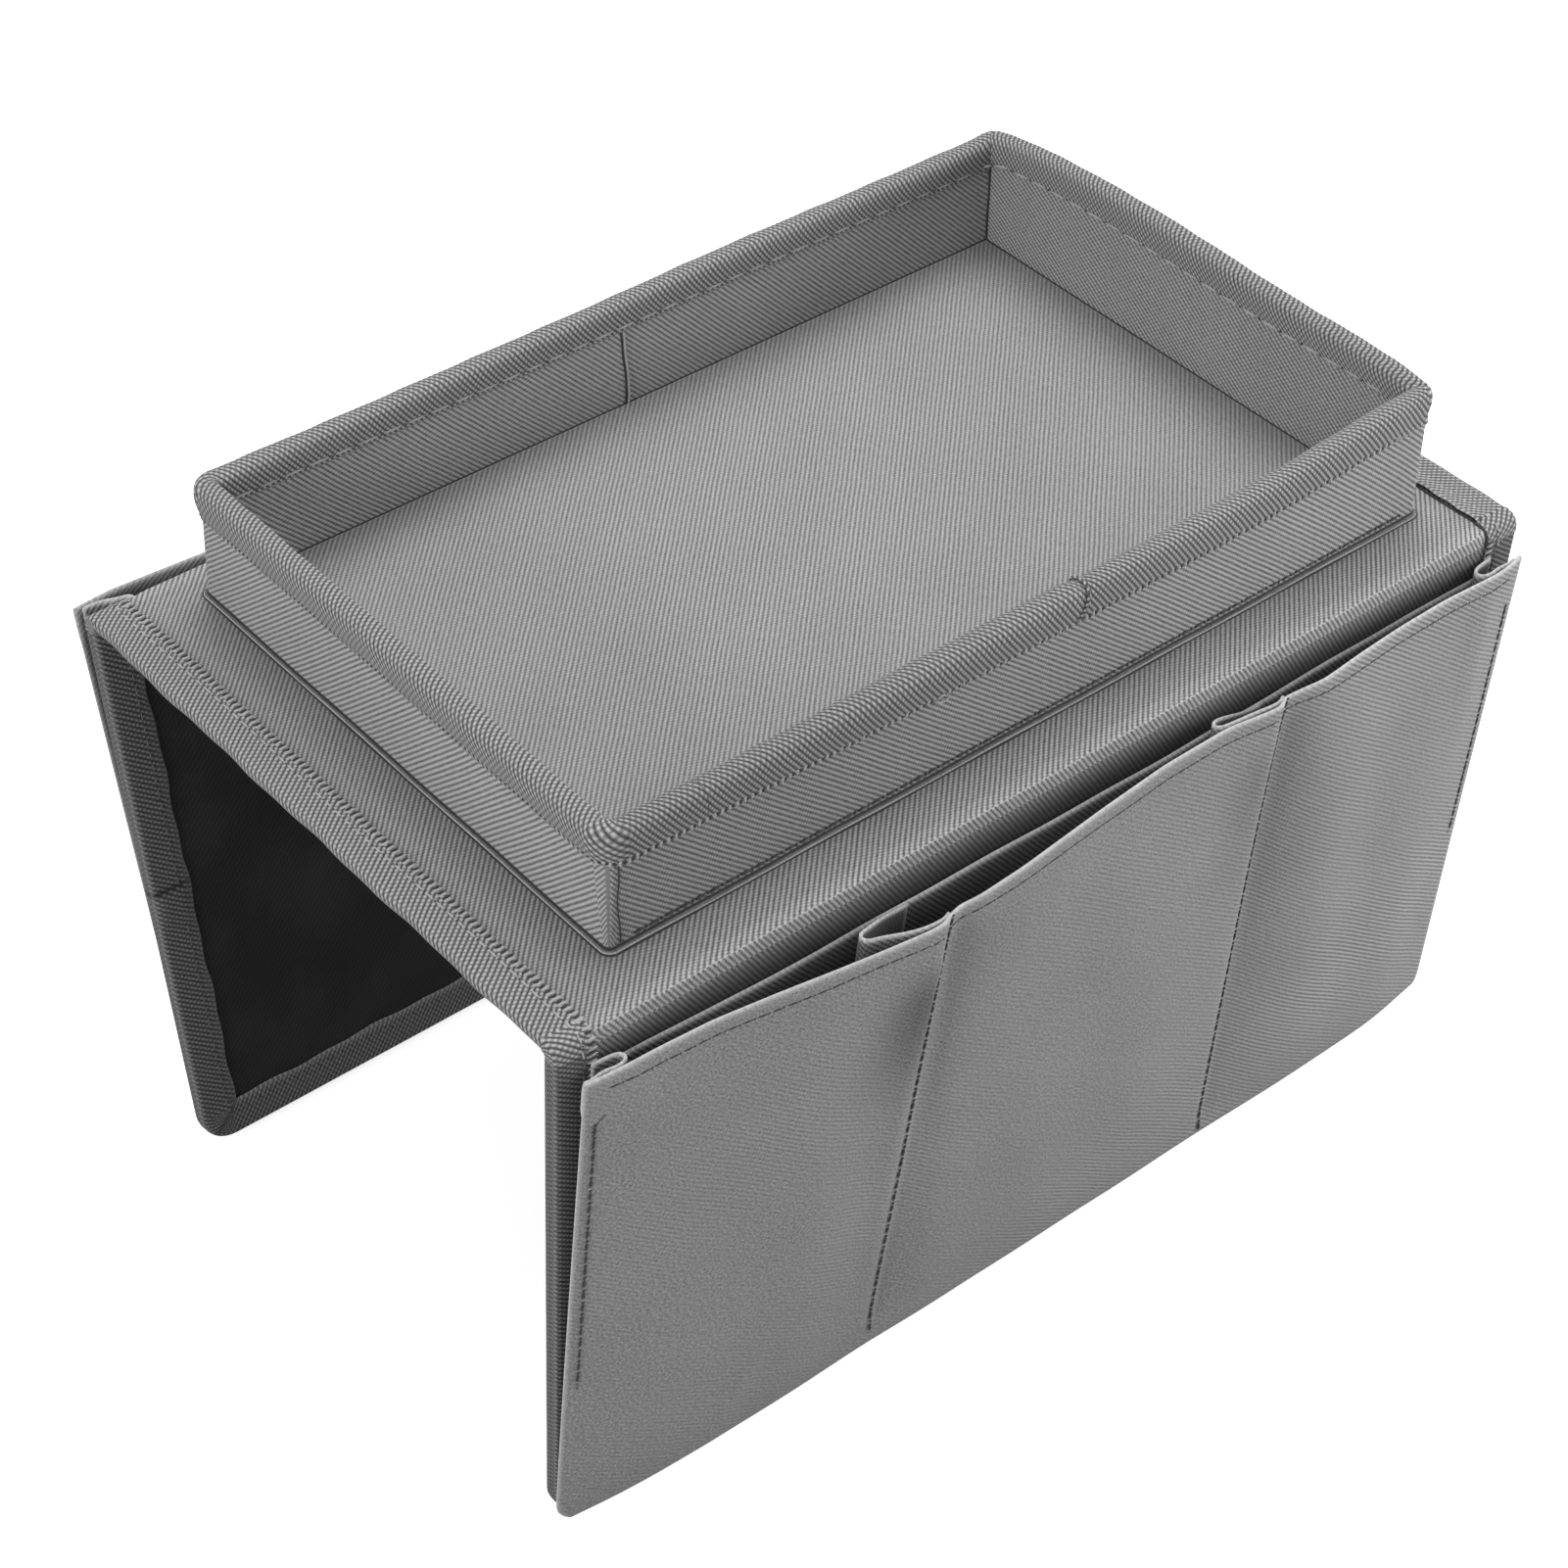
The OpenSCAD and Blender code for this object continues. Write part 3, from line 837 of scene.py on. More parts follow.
class StitchTree:
    """A Geometry Nodes tree that sews stitches and needle holes along lines."""

    INPUTS = (
        ("Pitch", "NodeSocketFloat"),
        ("Along", "NodeSocketFloat"),
        ("Across", "NodeSocketFloat"),
        ("Height", "NodeSocketFloat"),
        ("Hole Radius", "NodeSocketFloat"),
        ("Seed", "NodeSocketInt"),
        ("Thread", "NodeSocketMaterial"),
        ("Needle Hole", "NodeSocketMaterial"),
    )

    def __init__(self) -> None:
        """Builds the tree once."""
        self.tree = bpy.data.node_groups.new("stitch_row", "GeometryNodeTree")
        face = self.tree.interface
        face.new_socket("Geometry", in_out="INPUT", socket_type="NodeSocketGeometry")
        self.sockets = {
            label: face.new_socket(label, in_out="INPUT", socket_type=kind).identifier for label, kind in self.INPUTS
        }
        face.new_socket("Geometry", in_out="OUTPUT", socket_type="NodeSocketGeometry")
        self._wire()

    def _add(self, kind: str, **links: object) -> bpy.types.Node:
        """Adds a node, and sets its properties, or links or sets its inputs by name."""
        node = self.tree.nodes.new(kind)
        for key, value in links.items():
            if hasattr(node, key):
                setattr(node, key, value)
                continue
            socket = node.inputs[key.replace("_", " ")]
            if isinstance(value, bpy.types.NodeSocket):
                self.tree.links.new(value, socket)
            else:
                socket.default_value = value
        return node

    def _half(self, value: bpy.types.NodeSocket, factor: float = 0.5) -> bpy.types.NodeSocket:
        """A share of a number."""
        node = self.tree.nodes.new("ShaderNodeMath")
        node.operation = "MULTIPLY"
        self.tree.links.new(value, node.inputs[0])
        node.inputs[1].default_value = factor
        return node.outputs[0]

    def _wire(self) -> None:
        """Wires the tree from its lines to the finished thread and needle holes."""
        given = self.tree.nodes.new("NodeGroupInput").outputs
        curve = self._add("GeometryNodeMeshToCurve", Mesh=given["Geometry"])
        row = self._add("GeometryNodeResampleCurve", mode="LENGTH", Curve=curve.outputs[0], Length=given["Pitch"])
        ball = self._add("GeometryNodeMeshUVSphere", Segments=8, Rings=5, Radius=1.0)
        size = self._add("ShaderNodeCombineXYZ", X=self._half(given["Along"]), Y=self._half(given["Across"]), Z=self._half(given["Height"]))
        thread = self._add("GeometryNodeTransform", Geometry=ball.outputs[0], Scale=size.outputs[0])
        dot = self._add("GeometryNodeMeshUVSphere", Segments=6, Rings=4, Radius=1.0)
        radius = given["Hole Radius"]
        place = self._add("ShaderNodeCombineXYZ", X=self._half(given["Pitch"]), Z=self._half(radius, 0.1))
        longer = self._add("ShaderNodeMath", operation="MAXIMUM")
        self.tree.links.new(radius, longer.inputs[0])
        self.tree.links.new(self._half(given["Across"], 0.42), longer.inputs[1])
        flat = self._add("ShaderNodeCombineXYZ", X=radius, Y=longer.outputs[0], Z=self._half(radius, 0.45))
        hole = self._add("GeometryNodeTransform", Geometry=dot.outputs[0], Translation=place.outputs[0], Scale=flat.outputs[0])
        mark = self._add("GeometryNodeStoreNamedAttribute", data_type="BOOLEAN", domain="FACE", Geometry=hole.outputs[0], Name="needle_hole")
        mark.inputs["Value"].default_value = True
        stitch = self.tree.nodes.new("GeometryNodeJoinGeometry")
        self.tree.links.new(thread.outputs[0], stitch.inputs[0])
        self.tree.links.new(mark.outputs[0], stitch.inputs[0])
        along = self._add("FunctionNodeAlignRotationToVector", axis="X", Vector=self.tree.nodes.new("GeometryNodeInputTangent").outputs[0])
        facing = self._add("GeometryNodeInputNamedAttribute", data_type="FLOAT_VECTOR", Name="facing")
        turned = self._add("FunctionNodeAlignRotationToVector", axis="Z", pivot_axis="X", Rotation=along.outputs[0], Vector=facing.outputs[0])
        vary = self._add("FunctionNodeRandomValue", data_type="FLOAT_VECTOR")
        vary.inputs[0].default_value = (0.88, 0.85, 0.8)
        vary.inputs[1].default_value = (1.06, 1.12, 1.1)
        self.tree.links.new(given["Seed"], vary.inputs["Seed"])
        placed = self._add(
            "GeometryNodeInstanceOnPoints",
            Points=row.outputs[0],
            Instance=stitch.outputs[0],
            Rotation=turned.outputs[0],
            Scale=vary.outputs[0],
        )
        solid = self._add("GeometryNodeRealizeInstances", Geometry=placed.outputs[0])
        soft = self._add("GeometryNodeSetShadeSmooth", Geometry=solid.outputs[0])
        sewn = self._add("GeometryNodeSetMaterial", Geometry=soft.outputs[0], Material=given["Thread"])
        is_hole = self._add("GeometryNodeInputNamedAttribute", data_type="BOOLEAN", Name="needle_hole")
        pierced = self._add(
            "GeometryNodeSetMaterial", Geometry=sewn.outputs[0], Selection=is_hole.outputs[0], Material=given["Needle Hole"]
        )
        self.tree.links.new(pierced.outputs[0], self.tree.nodes.new("NodeGroupOutput").inputs[0])

    def sew(self, name: str, runs: Sequence[Run], stitch: Stitch, thread: Finish = Finish.THREAD, seed: int = 7) -> bpy.types.Object:
        """Sews rows of stitches as one plain mesh.

        Args:
            name: The piece's name.
            runs: The rows.
            stitch: The kind of stitch.
            thread: The thread's finish.
            seed: Fixes how the stitches vary.

        Returns:
            The new object.
        """
        points = np.concatenate([run.line for run in runs])
        facing = np.concatenate([np.broadcast_to(run.facing, run.line.shape) for run in runs])
        edges, at = [], 0
        for run in runs:
            edges += [(at + k, at + k + 1) for k in range(len(run.line) - 1)]
            at += len(run.line)
        mesh = bpy.data.meshes.new(name)
        mesh.from_pydata((points * MM).tolist(), edges, [])
        mesh.attributes.new("facing", "FLOAT_VECTOR", "POINT").data.foreach_set("vector", facing.astype(np.float32).ravel())
        piece = bpy.data.objects.new(name, mesh)
        bpy.context.scene.collection.objects.link(piece)
        modifier = piece.modifiers.new("stitch_row", "NODES")
        modifier.node_group = self.tree
        for label, value in zip(("Pitch", "Along", "Across", "Height", "Hole Radius"), stitch.value):
            modifier[self.sockets[label]] = value * MM
        modifier[self.sockets["Seed"]] = seed
        modifier[self.sockets["Thread"]] = thread.material()
        # The needle holes are dark dots of painted shade.
        modifier[self.sockets["Needle Hole"]] = Finish.SHADE.material()
        graph = bpy.context.evaluated_depsgraph_get()
        solid = bpy.data.meshes.new_from_object(piece.evaluated_get(graph), preserve_all_data_layers=True, depsgraph=graph)
        piece.modifiers.clear()
        piece.data = solid
        solid.name = name
        bpy.data.meshes.remove(mesh)
        return piece


# ---------------------------------------------------------------- sub-assemblies


@dataclass
class TopPanel:
    """The stiffened panel that lies on the sofa's arm, with its two end tapes.

    Attributes:
        sewing: The stitch tree.
        slack: Height of the cloth's slow waves, in millimetres.
        seam_in: Distance of the tape's long stitches from its inner edge.
    """

    sewing: StitchTree
    slack: float = 0.12
    seam_in: float = 3.6

    def cover(self) -> bpy.types.Object:
        """Makes the cover cloth."""
        p = PATTERN
        x = steps(-p.half_len + p.tape, p.half_len - p.tape, 4.0)[None, :]
        y = steps(-p.fold_y - 0.02, p.fold_y + 0.02, 4.0)[:, None]
        inside = rise((p.fold_y - np.abs(y)) / 6) * rise((p.back_half - np.abs(x)) / 6)
        z = p.panel - p.cloth / 2 + self.slack * inside * (1 + ripples(x, y, 3))
        mid = np.stack(np.broadcast_arrays(x, y, z), -1)
        shell = ClothShell(mid, rib_map(x, y, 45.0), flush=("first_row", "last_row"))
        away = np.maximum(np.abs(x - p.tray_x) - p.tray_half_x, np.abs(y - p.tray_y) - p.tray_half_y)
        # Painted shade: a little over the whole cover, and more beside the tray's wall.
        shell.shade = (0.12 + 0.2 * np.exp(-((np.maximum(away, 0.0) / 2.0) ** 2)), 0.0)
        piece = dress(shell.build("top_panel_cover"), Finish.COVER, "top_cover")
        return lay_sheet(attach(piece, "saddle"), shell, "stretched", "top_board")

    def lining(self) -> bpy.types.Object:
        """Makes the lining that lies on the sofa's arm."""
        p = PATTERN
        x = steps(-p.back_half, p.back_half, 6.0)[None, :]
        y = steps(-p.fold_y - 0.02, p.fold_y + 0.02, 6.0)[:, None]
        z = p.cloth / 2 + 0.05 * np.abs(ripples(x, y, 5))
        mid = np.stack(np.broadcast_arrays(x, y, z), -1)
        shell = ClothShell(mid, rib_map(x, y, 0.0), flush=("first_row", "last_row"))
        piece = dress(shell.build("top_panel_lining"), Finish.LINING, "top_lining")
        return lay_sheet(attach(piece, "saddle"), shell, "stretched", "top_board")

    def end_tape(self, end: int) -> bpy.types.Object:
        """Makes the tape folded over one end.

        Args:
            end: -1 at the left end and 1 at the right.

        Returns:
            The tape.
        """
        p = PATTERN
        profile = resample(
            np.array([[11.5, 3.6], [8.0, 3.75], [4.0, 3.75], [1.0, 3.65], [0.4, 3.2], [0.35, 1.9], [0.45, 0.8], [1.2, 0.42], [11.5, 0.42]]),
            26,
        )
        y = np.linspace(-p.fold_y - 0.02, p.fold_y + 0.02, 90)
        at = walked(profile)
        wave = 0.22 * np.sin(y / 7.3 + end) + 0.15 * np.sin(y / 3.1)
        wave *= rise((p.fold_y - np.abs(y)) / 8)
        if end > 0:
            profile[:, 1] += 0.9 * np.exp(-(((profile[:, 0] - 11.5) / 3.0) ** 2)) * (profile[:, 1] > 2)
        bare = np.exp(-((profile[:, 0] - 0.5) / 2.5) ** 2)[:, None]
        inner = np.exp(-((profile[:, 0] - 11.5) / 1.5) ** 2)[:, None]
        x = end * (p.half_len - profile[:, :1] + wave * bare + 0.25 * np.sin(y / 1.3) * inner)
        mid = np.stack([x, np.broadcast_to(y, x.shape), np.broadcast_to(profile[:, 1:], x.shape)], -1)
        uv = np.stack(np.broadcast_arrays(y[None, :], at[:, None]), -1) * MM
        shell = ClothShell(mid, uv, p.tape, flush=("first_col", "last_col"))
        label = "left" if end < 0 else "right"
        piece = dress(shell.build(f"{label}_end_tape"), Finish.TAPE, f"{label}_end_binding")
        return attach(piece, "saddle")

    def groove(self) -> bpy.types.Object:
        """Makes a dark cord of painted shade in the groove where the right tape stands off the cover."""
        p = PATTERN
        y = np.linspace(-p.fold_y + 0.4, p.fold_y - 0.4, 60)
        x = p.back_half - 0.45 + 0.2 * np.sin(y / 6.0)
        rope = tube("right_tape_groove_shade", np.stack([x, y, np.full(60, p.panel + 0.12)], -1), 0.34, sides=8)
        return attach(dress(rope, Finish.SHADE), "saddle")

    def stitching(self) -> bpy.types.Object:
        """Sews the two end tapes down."""
        p = PATTERN
        y = np.linspace(-p.fold_y, p.fold_y, 50)
        up = np.array([0.0, 0.0, 1.0])
        ladder, running = [], []
        for end in (-1, 1):
            edge = np.full(50, end * (p.back_half + 0.7))
            if end < 0:
                ladder.append(Run(np.stack([edge + 0.15 * np.sin(y / 9), y, np.full(50, 4.02)], -1), up))
            seam = end * (p.back_half + self.seam_in) + 0.3 * np.sin(y / 17 + end)
            running.append(Run(np.stack([seam, y, np.full(50, 4.17)], -1), up))
        parts = [self.sewing.sew("end_ladder", ladder, Stitch.LADDER), self.sewing.sew("end_running", running, Stitch.RUNNING)]
        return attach(dress(joined("end_tape_stitching", parts), Finish.THREAD), "saddle")

    def build(self) -> None:
        """Makes every piece of the panel."""
        self.cover()
        self.lining()
        for end in (-1, 1):
            self.end_tape(end)
        self.groove()
        self.stitching()


def lay_sheet(piece: bpy.types.Object, shell: ClothShell, held: str, *rests_on: str) -> bpy.types.Object:
    """Works out a piece's cut size, and gives the piece back unchanged.

    Args:
        piece: The piece.
        shell: The shell that it was made from.
        held: Not used.
        *rests_on: Not used.

    Returns:
        The piece.
    """
    flat, area = shell.flat_size()
    if min(flat) < 0.012:
        return piece
    return piece


@dataclass
class Tray:
    """The shallow tray sewn on the top panel.

    Attributes:
        sewing: The stitch tree.
        corner_lift: How much higher the rim stands at the right front corner.
        right_rise: How much higher it stands in the middle of the right wall.
        puff: How far the wall's cloth stands off its boards.
        lap: Where the rim tape's two ends overlap, along the front wall.
    """

    sewing: StitchTree
    corner_lift: float = 5.2
    right_rise: float = 6.5
    puff: float = 0.5
    lap: tuple[float, float] = (-105.0, 14.0)
    corners: tuple[float, float, float, float] = (6.0, 2.8, 3.4, 5.0)
    ring_steps: int = field(default=8)

    def ring(self, inset: float | np.ndarray, tight: float | np.ndarray = 0.0) -> np.ndarray:
        """The tray's outline drawn in by an inset, counter-clockwise from the left front corner.

        Args:
            inset: Distance inside the wall's outer face, one number or one for each row.
            tight: 0 for the rim's round corners and 1 for the sharp corners of the wall's foot.

        Returns:
            X and Y of each point, in rows if there are several insets.
        """
        p = PATTERN
        inset = np.atleast_1d(np.asarray(inset, float))[:, None]
        tight = np.broadcast_to(np.reshape(tight, (-1, 1)), inset.shape)
        rows = []
        for corner in range(4):
            sx, sy = ((-1, -1), (1, -1), (1, 1), (-1, 1))[corner]
            start = math.radians((180, 270, 0, 90)[corner])
            turn = start + np.linspace(0, math.pi / 2, self.ring_steps)
            full = self.corners[corner] * (1 - tight) + 1.9 * tight
            radius = np.maximum(full - inset, 0.3)
            shrink = np.maximum(inset - full + 0.3, 0.0)
            cx = p.tray_x + sx * (p.tray_half_x - full - shrink)
            cy = p.tray_y + sy * (p.tray_half_y - full - shrink)
            arc = np.stack([cx + radius * np.cos(turn), cy + radius * np.sin(turn)], -1)
            length = 2 * (p.tray_half_x if corner % 2 == 0 else p.tray_half_y) - 2 * p.tray_corner
            rows.append(arc)
            rows.append(np.full((len(inset), int(length / 4), 2), np.nan))
        line = np.concatenate(rows, 1)
        for k in range(len(line)):
            known = ~np.isnan(line[k, :, 0])
            at = np.arange(line.shape[1])
            wrap = np.append(at[known], line.shape[1])
            for axis in range(2):
                values = np.append(line[k, known, axis], line[k, 0, axis])
                line[k, :, axis] = np.interp(at, wrap, values)
        return line

    def lift(self, xy: np.ndarray) -> np.ndarray:
        """How much higher the wall stands at each place."""
        p = PATTERN
        far = np.hypot(xy[..., 0] - p.tray_x - p.tray_half_x, xy[..., 1] - p.tray_y + p.tray_half_y)
        back = np.hypot(xy[..., 0] - p.tray_x - p.tray_half_x, xy[..., 1] - p.tray_y - p.tray_half_y)
        slow = 0.3 * np.sin(xy[..., 0] / 31) + 0.22 * np.sin(xy[..., 1] / 33 + 1)
        right = rise((xy[..., 0] - p.tray_x - p.tray_half_x + 9) / 7)
        along = np.sin(math.pi * np.clip((p.tray_y + p.tray_half_y - 1 - xy[..., 1]) / (2 * p.tray_half_y - 3), 0, 1) ** 0.72) ** 0.85
        return self.corner_lift * np.exp(-((far / 48) ** 2)) + self.right_rise * right * along + slow

    def bow(self, xy: np.ndarray) -> np.ndarray:
        """1 in the middle of each wall and 0 at the corners."""
        p = PATTERN
        ax = np.abs(xy[..., 0] - p.tray_x) / p.tray_half_x
        ay = np.abs(xy[..., 1] - p.tray_y) / p.tray_half_y
        return rise((1.12 - np.maximum(np.minimum(ax, ay), 0.12)) / 0.5)

    def wall_cloth(self, name: str, node: str, inset: float, outward: float, slants: tuple[float, float]) -> bpy.types.Object:
        """Makes the cloth on one face of the wall.

        Args:
            name: The piece's name.
            node: The node that it stands for.
            inset: Distance of the cloth's middle inside the wall's outer face.
            outward: 1 on the outer face and -1 on the inner one.
            slants: Slant of the ribs on the long walls and on the short ones, in degrees.

        Returns:
            The cloth.
        """
        p = PATTERN
        z = np.array([p.panel + 0.05, 4.2, 6.0, 9.0, 13.0, 17.5, 22.0, 26.5, 30.0, 33.0, 36.0, 38.8])
        share = ((z - z[0]) / (z[-1] - z[0]))[:, None]
        base = self.ring(inset)[0]
        at = walked(np.concatenate([base, base[:1]]))
        puffed = self.puff * self.bow(base) * np.sin(math.pi * share) + 0.16 * np.sin(math.pi * share) * ripples(at[:-1], z[:, None], 11 + int(inset))
        xy = self.ring(np.full(len(z), float(inset)), 1 - share[:, 0])
        tangent = unit(np.roll(base, -1, 0) - np.roll(base, 1, 0))
        normal = np.stack([tangent[:, 1], -tangent[:, 0]], -1)
        xy = xy + normal[None] * (outward * np.abs(puffed))[..., None]
        height = z[:, None] + self.lift(base)[None] * share
        mid = np.concatenate([xy, height[..., None]], -1)
        across = np.append(np.abs(tangent[:, 0]) > np.abs(tangent[:, 1]), abs(tangent[0, 0]) > abs(tangent[0, 1]))
        long_uv = rib_map(at[None, :], z[:, None], slants[0])
        short_uv = rib_map(at[None, :], z[:, None], slants[1])
        uv = np.where(across[None, :, None], long_uv, short_uv)
        shell = ClothShell(mid, uv, loop=True)
        long_wall = np.abs(tangent[:, 0]) > 0.8
        # Painted shade: darker towards the left of the outer front wall, and on the inner right wall.
        near = 0.32 * long_wall * (base[:, 1] < 0) * rise((110 - base[:, 0]) / 240) if outward > 0 else 0.16 * ~long_wall * (base[:, 0] > 0)
        shell.shade = (np.broadcast_to(near, mid.shape[:2]), np.broadcast_to(near, mid.shape[:2]))
        piece = dress(shell.build(name), Finish.COVER, node)
        return lay_sheet(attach(piece, "saddle"), shell, "stretched", "tray_front_wall_board", "tray_rear_wall_board")

    def rim(self) -> bpy.types.Object:
        """Makes the thick rolled tape over the wall's top edge."""
        p = PATTERN
        profile = resample(
            np.array(
                [
                    [-0.5, -10.6], [-0.55, -9.6], [-0.6, -8.8], [-1.15, -7.4], [-1.5, -5.2], [-1.55, -3.2], [-1.2, -1.3],
                    [-0.1, -0.3], [1.6, -0.1], [3.3, -0.3], [4.4, -1.3], [4.7, -3.2], [4.6, -5.2], [4.2, -7.2], [3.85, -8.4],
                    [3.8, -9.0], [3.75, -9.6],
                ]
            ),
            34,
        )
        ring = self.ring(profile[:, 0])
        base = self.ring(1.6)[0]
        at = walked(np.concatenate([base, base[:1]]))
        front = np.abs(base[:, 1] - (p.tray_y - p.tray_half_y + 1.6)) < 0.4
        lapped = rise((base[:, 0] - self.lap[0]) / 60) * (base[:, 0] < self.lap[1]) * front
        lumps = 0.08 * np.sin(at[:-1] / 3.7) + 0.08 * np.sin(at[:-1] / 14.3 + 1) + 0.05 * np.sin(at[:-1] / 1.9)
        swell = np.sin(np.linspace(0, math.pi, len(profile)))[:, None] * (lumps + 0.75 * lapped)[None]
        tangent = unit(np.gradient(profile, axis=0))
        facing = np.stack([tangent[:, 1], -tangent[:, 0]], -1)
        line = unit(np.roll(base, -1, 0) - np.roll(base, 1, 0))
        normal = np.stack([line[:, 1], -line[:, 0]], -1)
        corner = np.hypot(base[:, 0] - p.tray_x - p.tray_half_x, base[:, 1] - p.tray_y + p.tray_half_y)
        pinch = 0.95 * np.exp(-((corner / 12) ** 2))[None] * rise((1.5 - profile[:, :1]) / 2.5) * rise((profile[:, 1:] + 10.6) / 3.0)
        xy = ring + normal[None] * (swell * facing[:, :1] - pinch)[..., None]
        z = p.rim_top - 0.4 + profile[:, 1:] + self.lift(base)[None] + swell * np.abs(facing[:, 1:])
        mid = np.concatenate([xy, z[..., None]], -1)
        across = walked(profile)
        uv = np.stack(np.broadcast_arrays(at[None, :], across[:, None]), -1) * MM
        shell = ClothShell(mid, uv, 0.85, loop=True)
        # Painted shade, darker towards the left of the front run.
        shell.shade = (np.broadcast_to(0.22 * front * rise((110 - base[:, 0]) / 240), mid.shape[:2]), 0.0)
        self.rim_joins(profile)
        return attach(dress(shell.build("tray_rim_tape"), Finish.TAPE, "tray_rim_binding"), "saddle")

    def floor(self) -> bpy.types.Object:
        """Makes the floor's cloth."""
        p = PATTERN
        hx, hy = p.tray_half_x - p.panel - 0.15, p.tray_half_y - p.panel - 0.15
        x = steps(-hx, hx, 4.0)[None, :]
        y = steps(-hy, hy, 4.0)[:, None]
        sag = rise((hx - np.abs(x)) / 12) * rise((hy - np.abs(y)) / 12)
        z = p.floor_top - p.cloth / 2 + 0.12 * sag * (1 + ripples(x, y, 21, 40, 110))
        mid = np.stack(np.broadcast_arrays(x + p.tray_x, y + p.tray_y, z), -1)
        shell = ClothShell(mid, rib_map(x, y, 45.0), calm=0.28)
        piece = dress(shell.build("tray_floor_cloth"), Finish.COVER, "tray_floor_cover")
        return lay_sheet(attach(piece, "saddle"), shell, "laid", "tray_floor_board")

    def seams(self) -> None:
        """Makes the base cord, a fold at the inner join, and dark cords of painted shade in the grooves along the base,
        the floor, the corners and the inner join.
        """
        p = PATTERN
        base = self.ring(-0.7, 1.0)[0]
        wave = 0.14 * np.sin(walked(base) / 9)
        cord = np.stack([base[:, 0], base[:, 1], p.panel + 0.4 + wave], -1)
        rope = tube("tray_base_cord", cord, 0.56, closed=True, sides=10)
        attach(dress(rope, Finish.COVER, "tray_base_seam"), "saddle")
        # Dark cords of painted shade in the grooves.
        groove = self.ring(-0.12, 1.0)[0]
        lines = [tube("g", np.stack([groove[:, 0], groove[:, 1], p.panel + 1.2 + wave], -1), 0.34, closed=True, sides=6)]
        outer = self.ring(-1.45, 1.0)[0]
        lines.append(tube("g", np.stack([outer[:, 0], outer[:, 1], np.full(len(outer), p.panel + 0.08)], -1), 0.3, closed=True, sides=6))
        inner = self.ring(3.3, 1.0)[0]
        lines.append(tube("g", np.stack([inner[:, 0], inner[:, 1], np.full(len(inner), p.floor_top)], -1), 0.34, closed=True, sides=6))
        z = np.linspace(p.panel + 1.5, p.rim_top - 10.5, 14)
        for sx, sy in ((-1, -1), (1, -1), (1, 1), (-1, 1)):
            x = p.tray_x + sx * (p.tray_half_x - 3.2) + 0.35 * np.sin(z / 3.1 + sx)
            share = (z - p.panel) / (p.rim_top - p.panel)
            round_r = 1.9 + (6.0 - 1.9) * share
            past = np.maximum(np.abs(x - p.tray_x) - p.tray_half_x + round_r, 0.0)
            arc = round_r - np.sqrt(np.maximum(round_r**2 - past**2, 0))
            y = p.tray_y + sy * (p.tray_half_y - arc + 0.22)
            if sx < 0 and sy < 0:
                lines.append(tube("g", np.stack([x, y, z], -1), 0.2, sides=6))
            inner_x = np.full(14, p.tray_x + sx * (p.tray_half_x - p.panel - 0.35)) + 0.15 * np.sin(z / 2.7)
            inner_y = np.full(14, p.tray_y + sy * (p.tray_half_y - p.panel - 0.3))
            lines.append(tube("g", np.stack([inner_x, inner_y, z + 1.6], -1), 0.4, sides=6))
        join_x = np.interp(z, [5.0, 8.0, 30.7], [2.6, 3.2, 1.2]) + 0.12 * np.sin(z / 2)
        join_y = np.full(14, p.tray_y + p.tray_half_y - p.panel - 0.35)
        lines.append(tube("g", np.stack([join_x, join_y - 0.25 * np.sin((z - 4) / 27 * math.pi), z + 0.8], -1), 0.24, sides=6))
        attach(dress(joined("tray_seam_groove_shade", lines), Finish.SHADE), "saddle")
        lip = tube("tray_inner_join_fold", np.stack([join_x + 0.75, join_y - 0.2 - 0.25 * np.sin((z - 4) / 27 * math.pi), z + 0.8], -1), 0.42, sides=8)
        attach(dress(lip, Finish.COVER), "saddle")

    def stitching(self) -> None:
        """Sews the rim tape down on both faces, and the wall's foot."""
        p = PATTERN

        def row(inset: float, z: float, sense: float) -> Run:
            xy = self.ring(inset)[0]
            xy = np.concatenate([xy, xy[:1]])
            line = unit(np.gradient(xy, axis=0))
            facing = np.stack([line[:, 1] * sense, -line[:, 0] * sense, np.full(len(xy), 0.15)], -1)
            corner = np.hypot(xy[:, 0] - p.tray_x - p.tray_half_x, xy[:, 1] - p.tray_y + p.tray_half_y)
            xy = xy - facing[:, :2] * (0.6 * np.exp(-((corner / 12) ** 2)) * (sense > 0))[:, None]
            return Run(np.concatenate([xy, (z + self.lift(xy))[:, None]], -1), facing)

        whole = row(-0.85, p.rim_top - 10.2, 1.0)
        near = np.flatnonzero(whole.line[:-1, 1] < p.tray_y - p.tray_half_y + 1.5)
        turn = np.arange(near[-1], len(whole.line) + near[0]) % (len(whole.line) - 1)
        bars = self.sewing.sew("rim_bars", [Run(whole.line[near], whole.facing[near])], Stitch.RIM)
        holes = self.sewing.sew("rim_holes", [Run(whole.line[turn], whole.facing[turn])], Stitch.HOLES)
        inner = self.sewing.sew("rim_inner", [row(4.42, p.rim_top - 8.3, -1.0)], Stitch.LONG)
        y = p.tray_y - p.tray_half_y - self.puff * 0.4 - 0.1
        x = np.linspace(p.tray_x - p.tray_half_x + 9, p.tray_x + p.tray_half_x - 9, 30)
        foot = Run(np.stack([x, np.full(30, y), np.full(30, p.panel + 2.9)], -1), np.array([0.0, -1.0, 0.2]))
        low = self.sewing.sew("wall_foot", [foot], Stitch.SEAM, Finish.SHADE)
        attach(dress(joined("tray_stitching", [bars, holes, inner, low, self.thread_end()]), Finish.THREAD), "saddle")

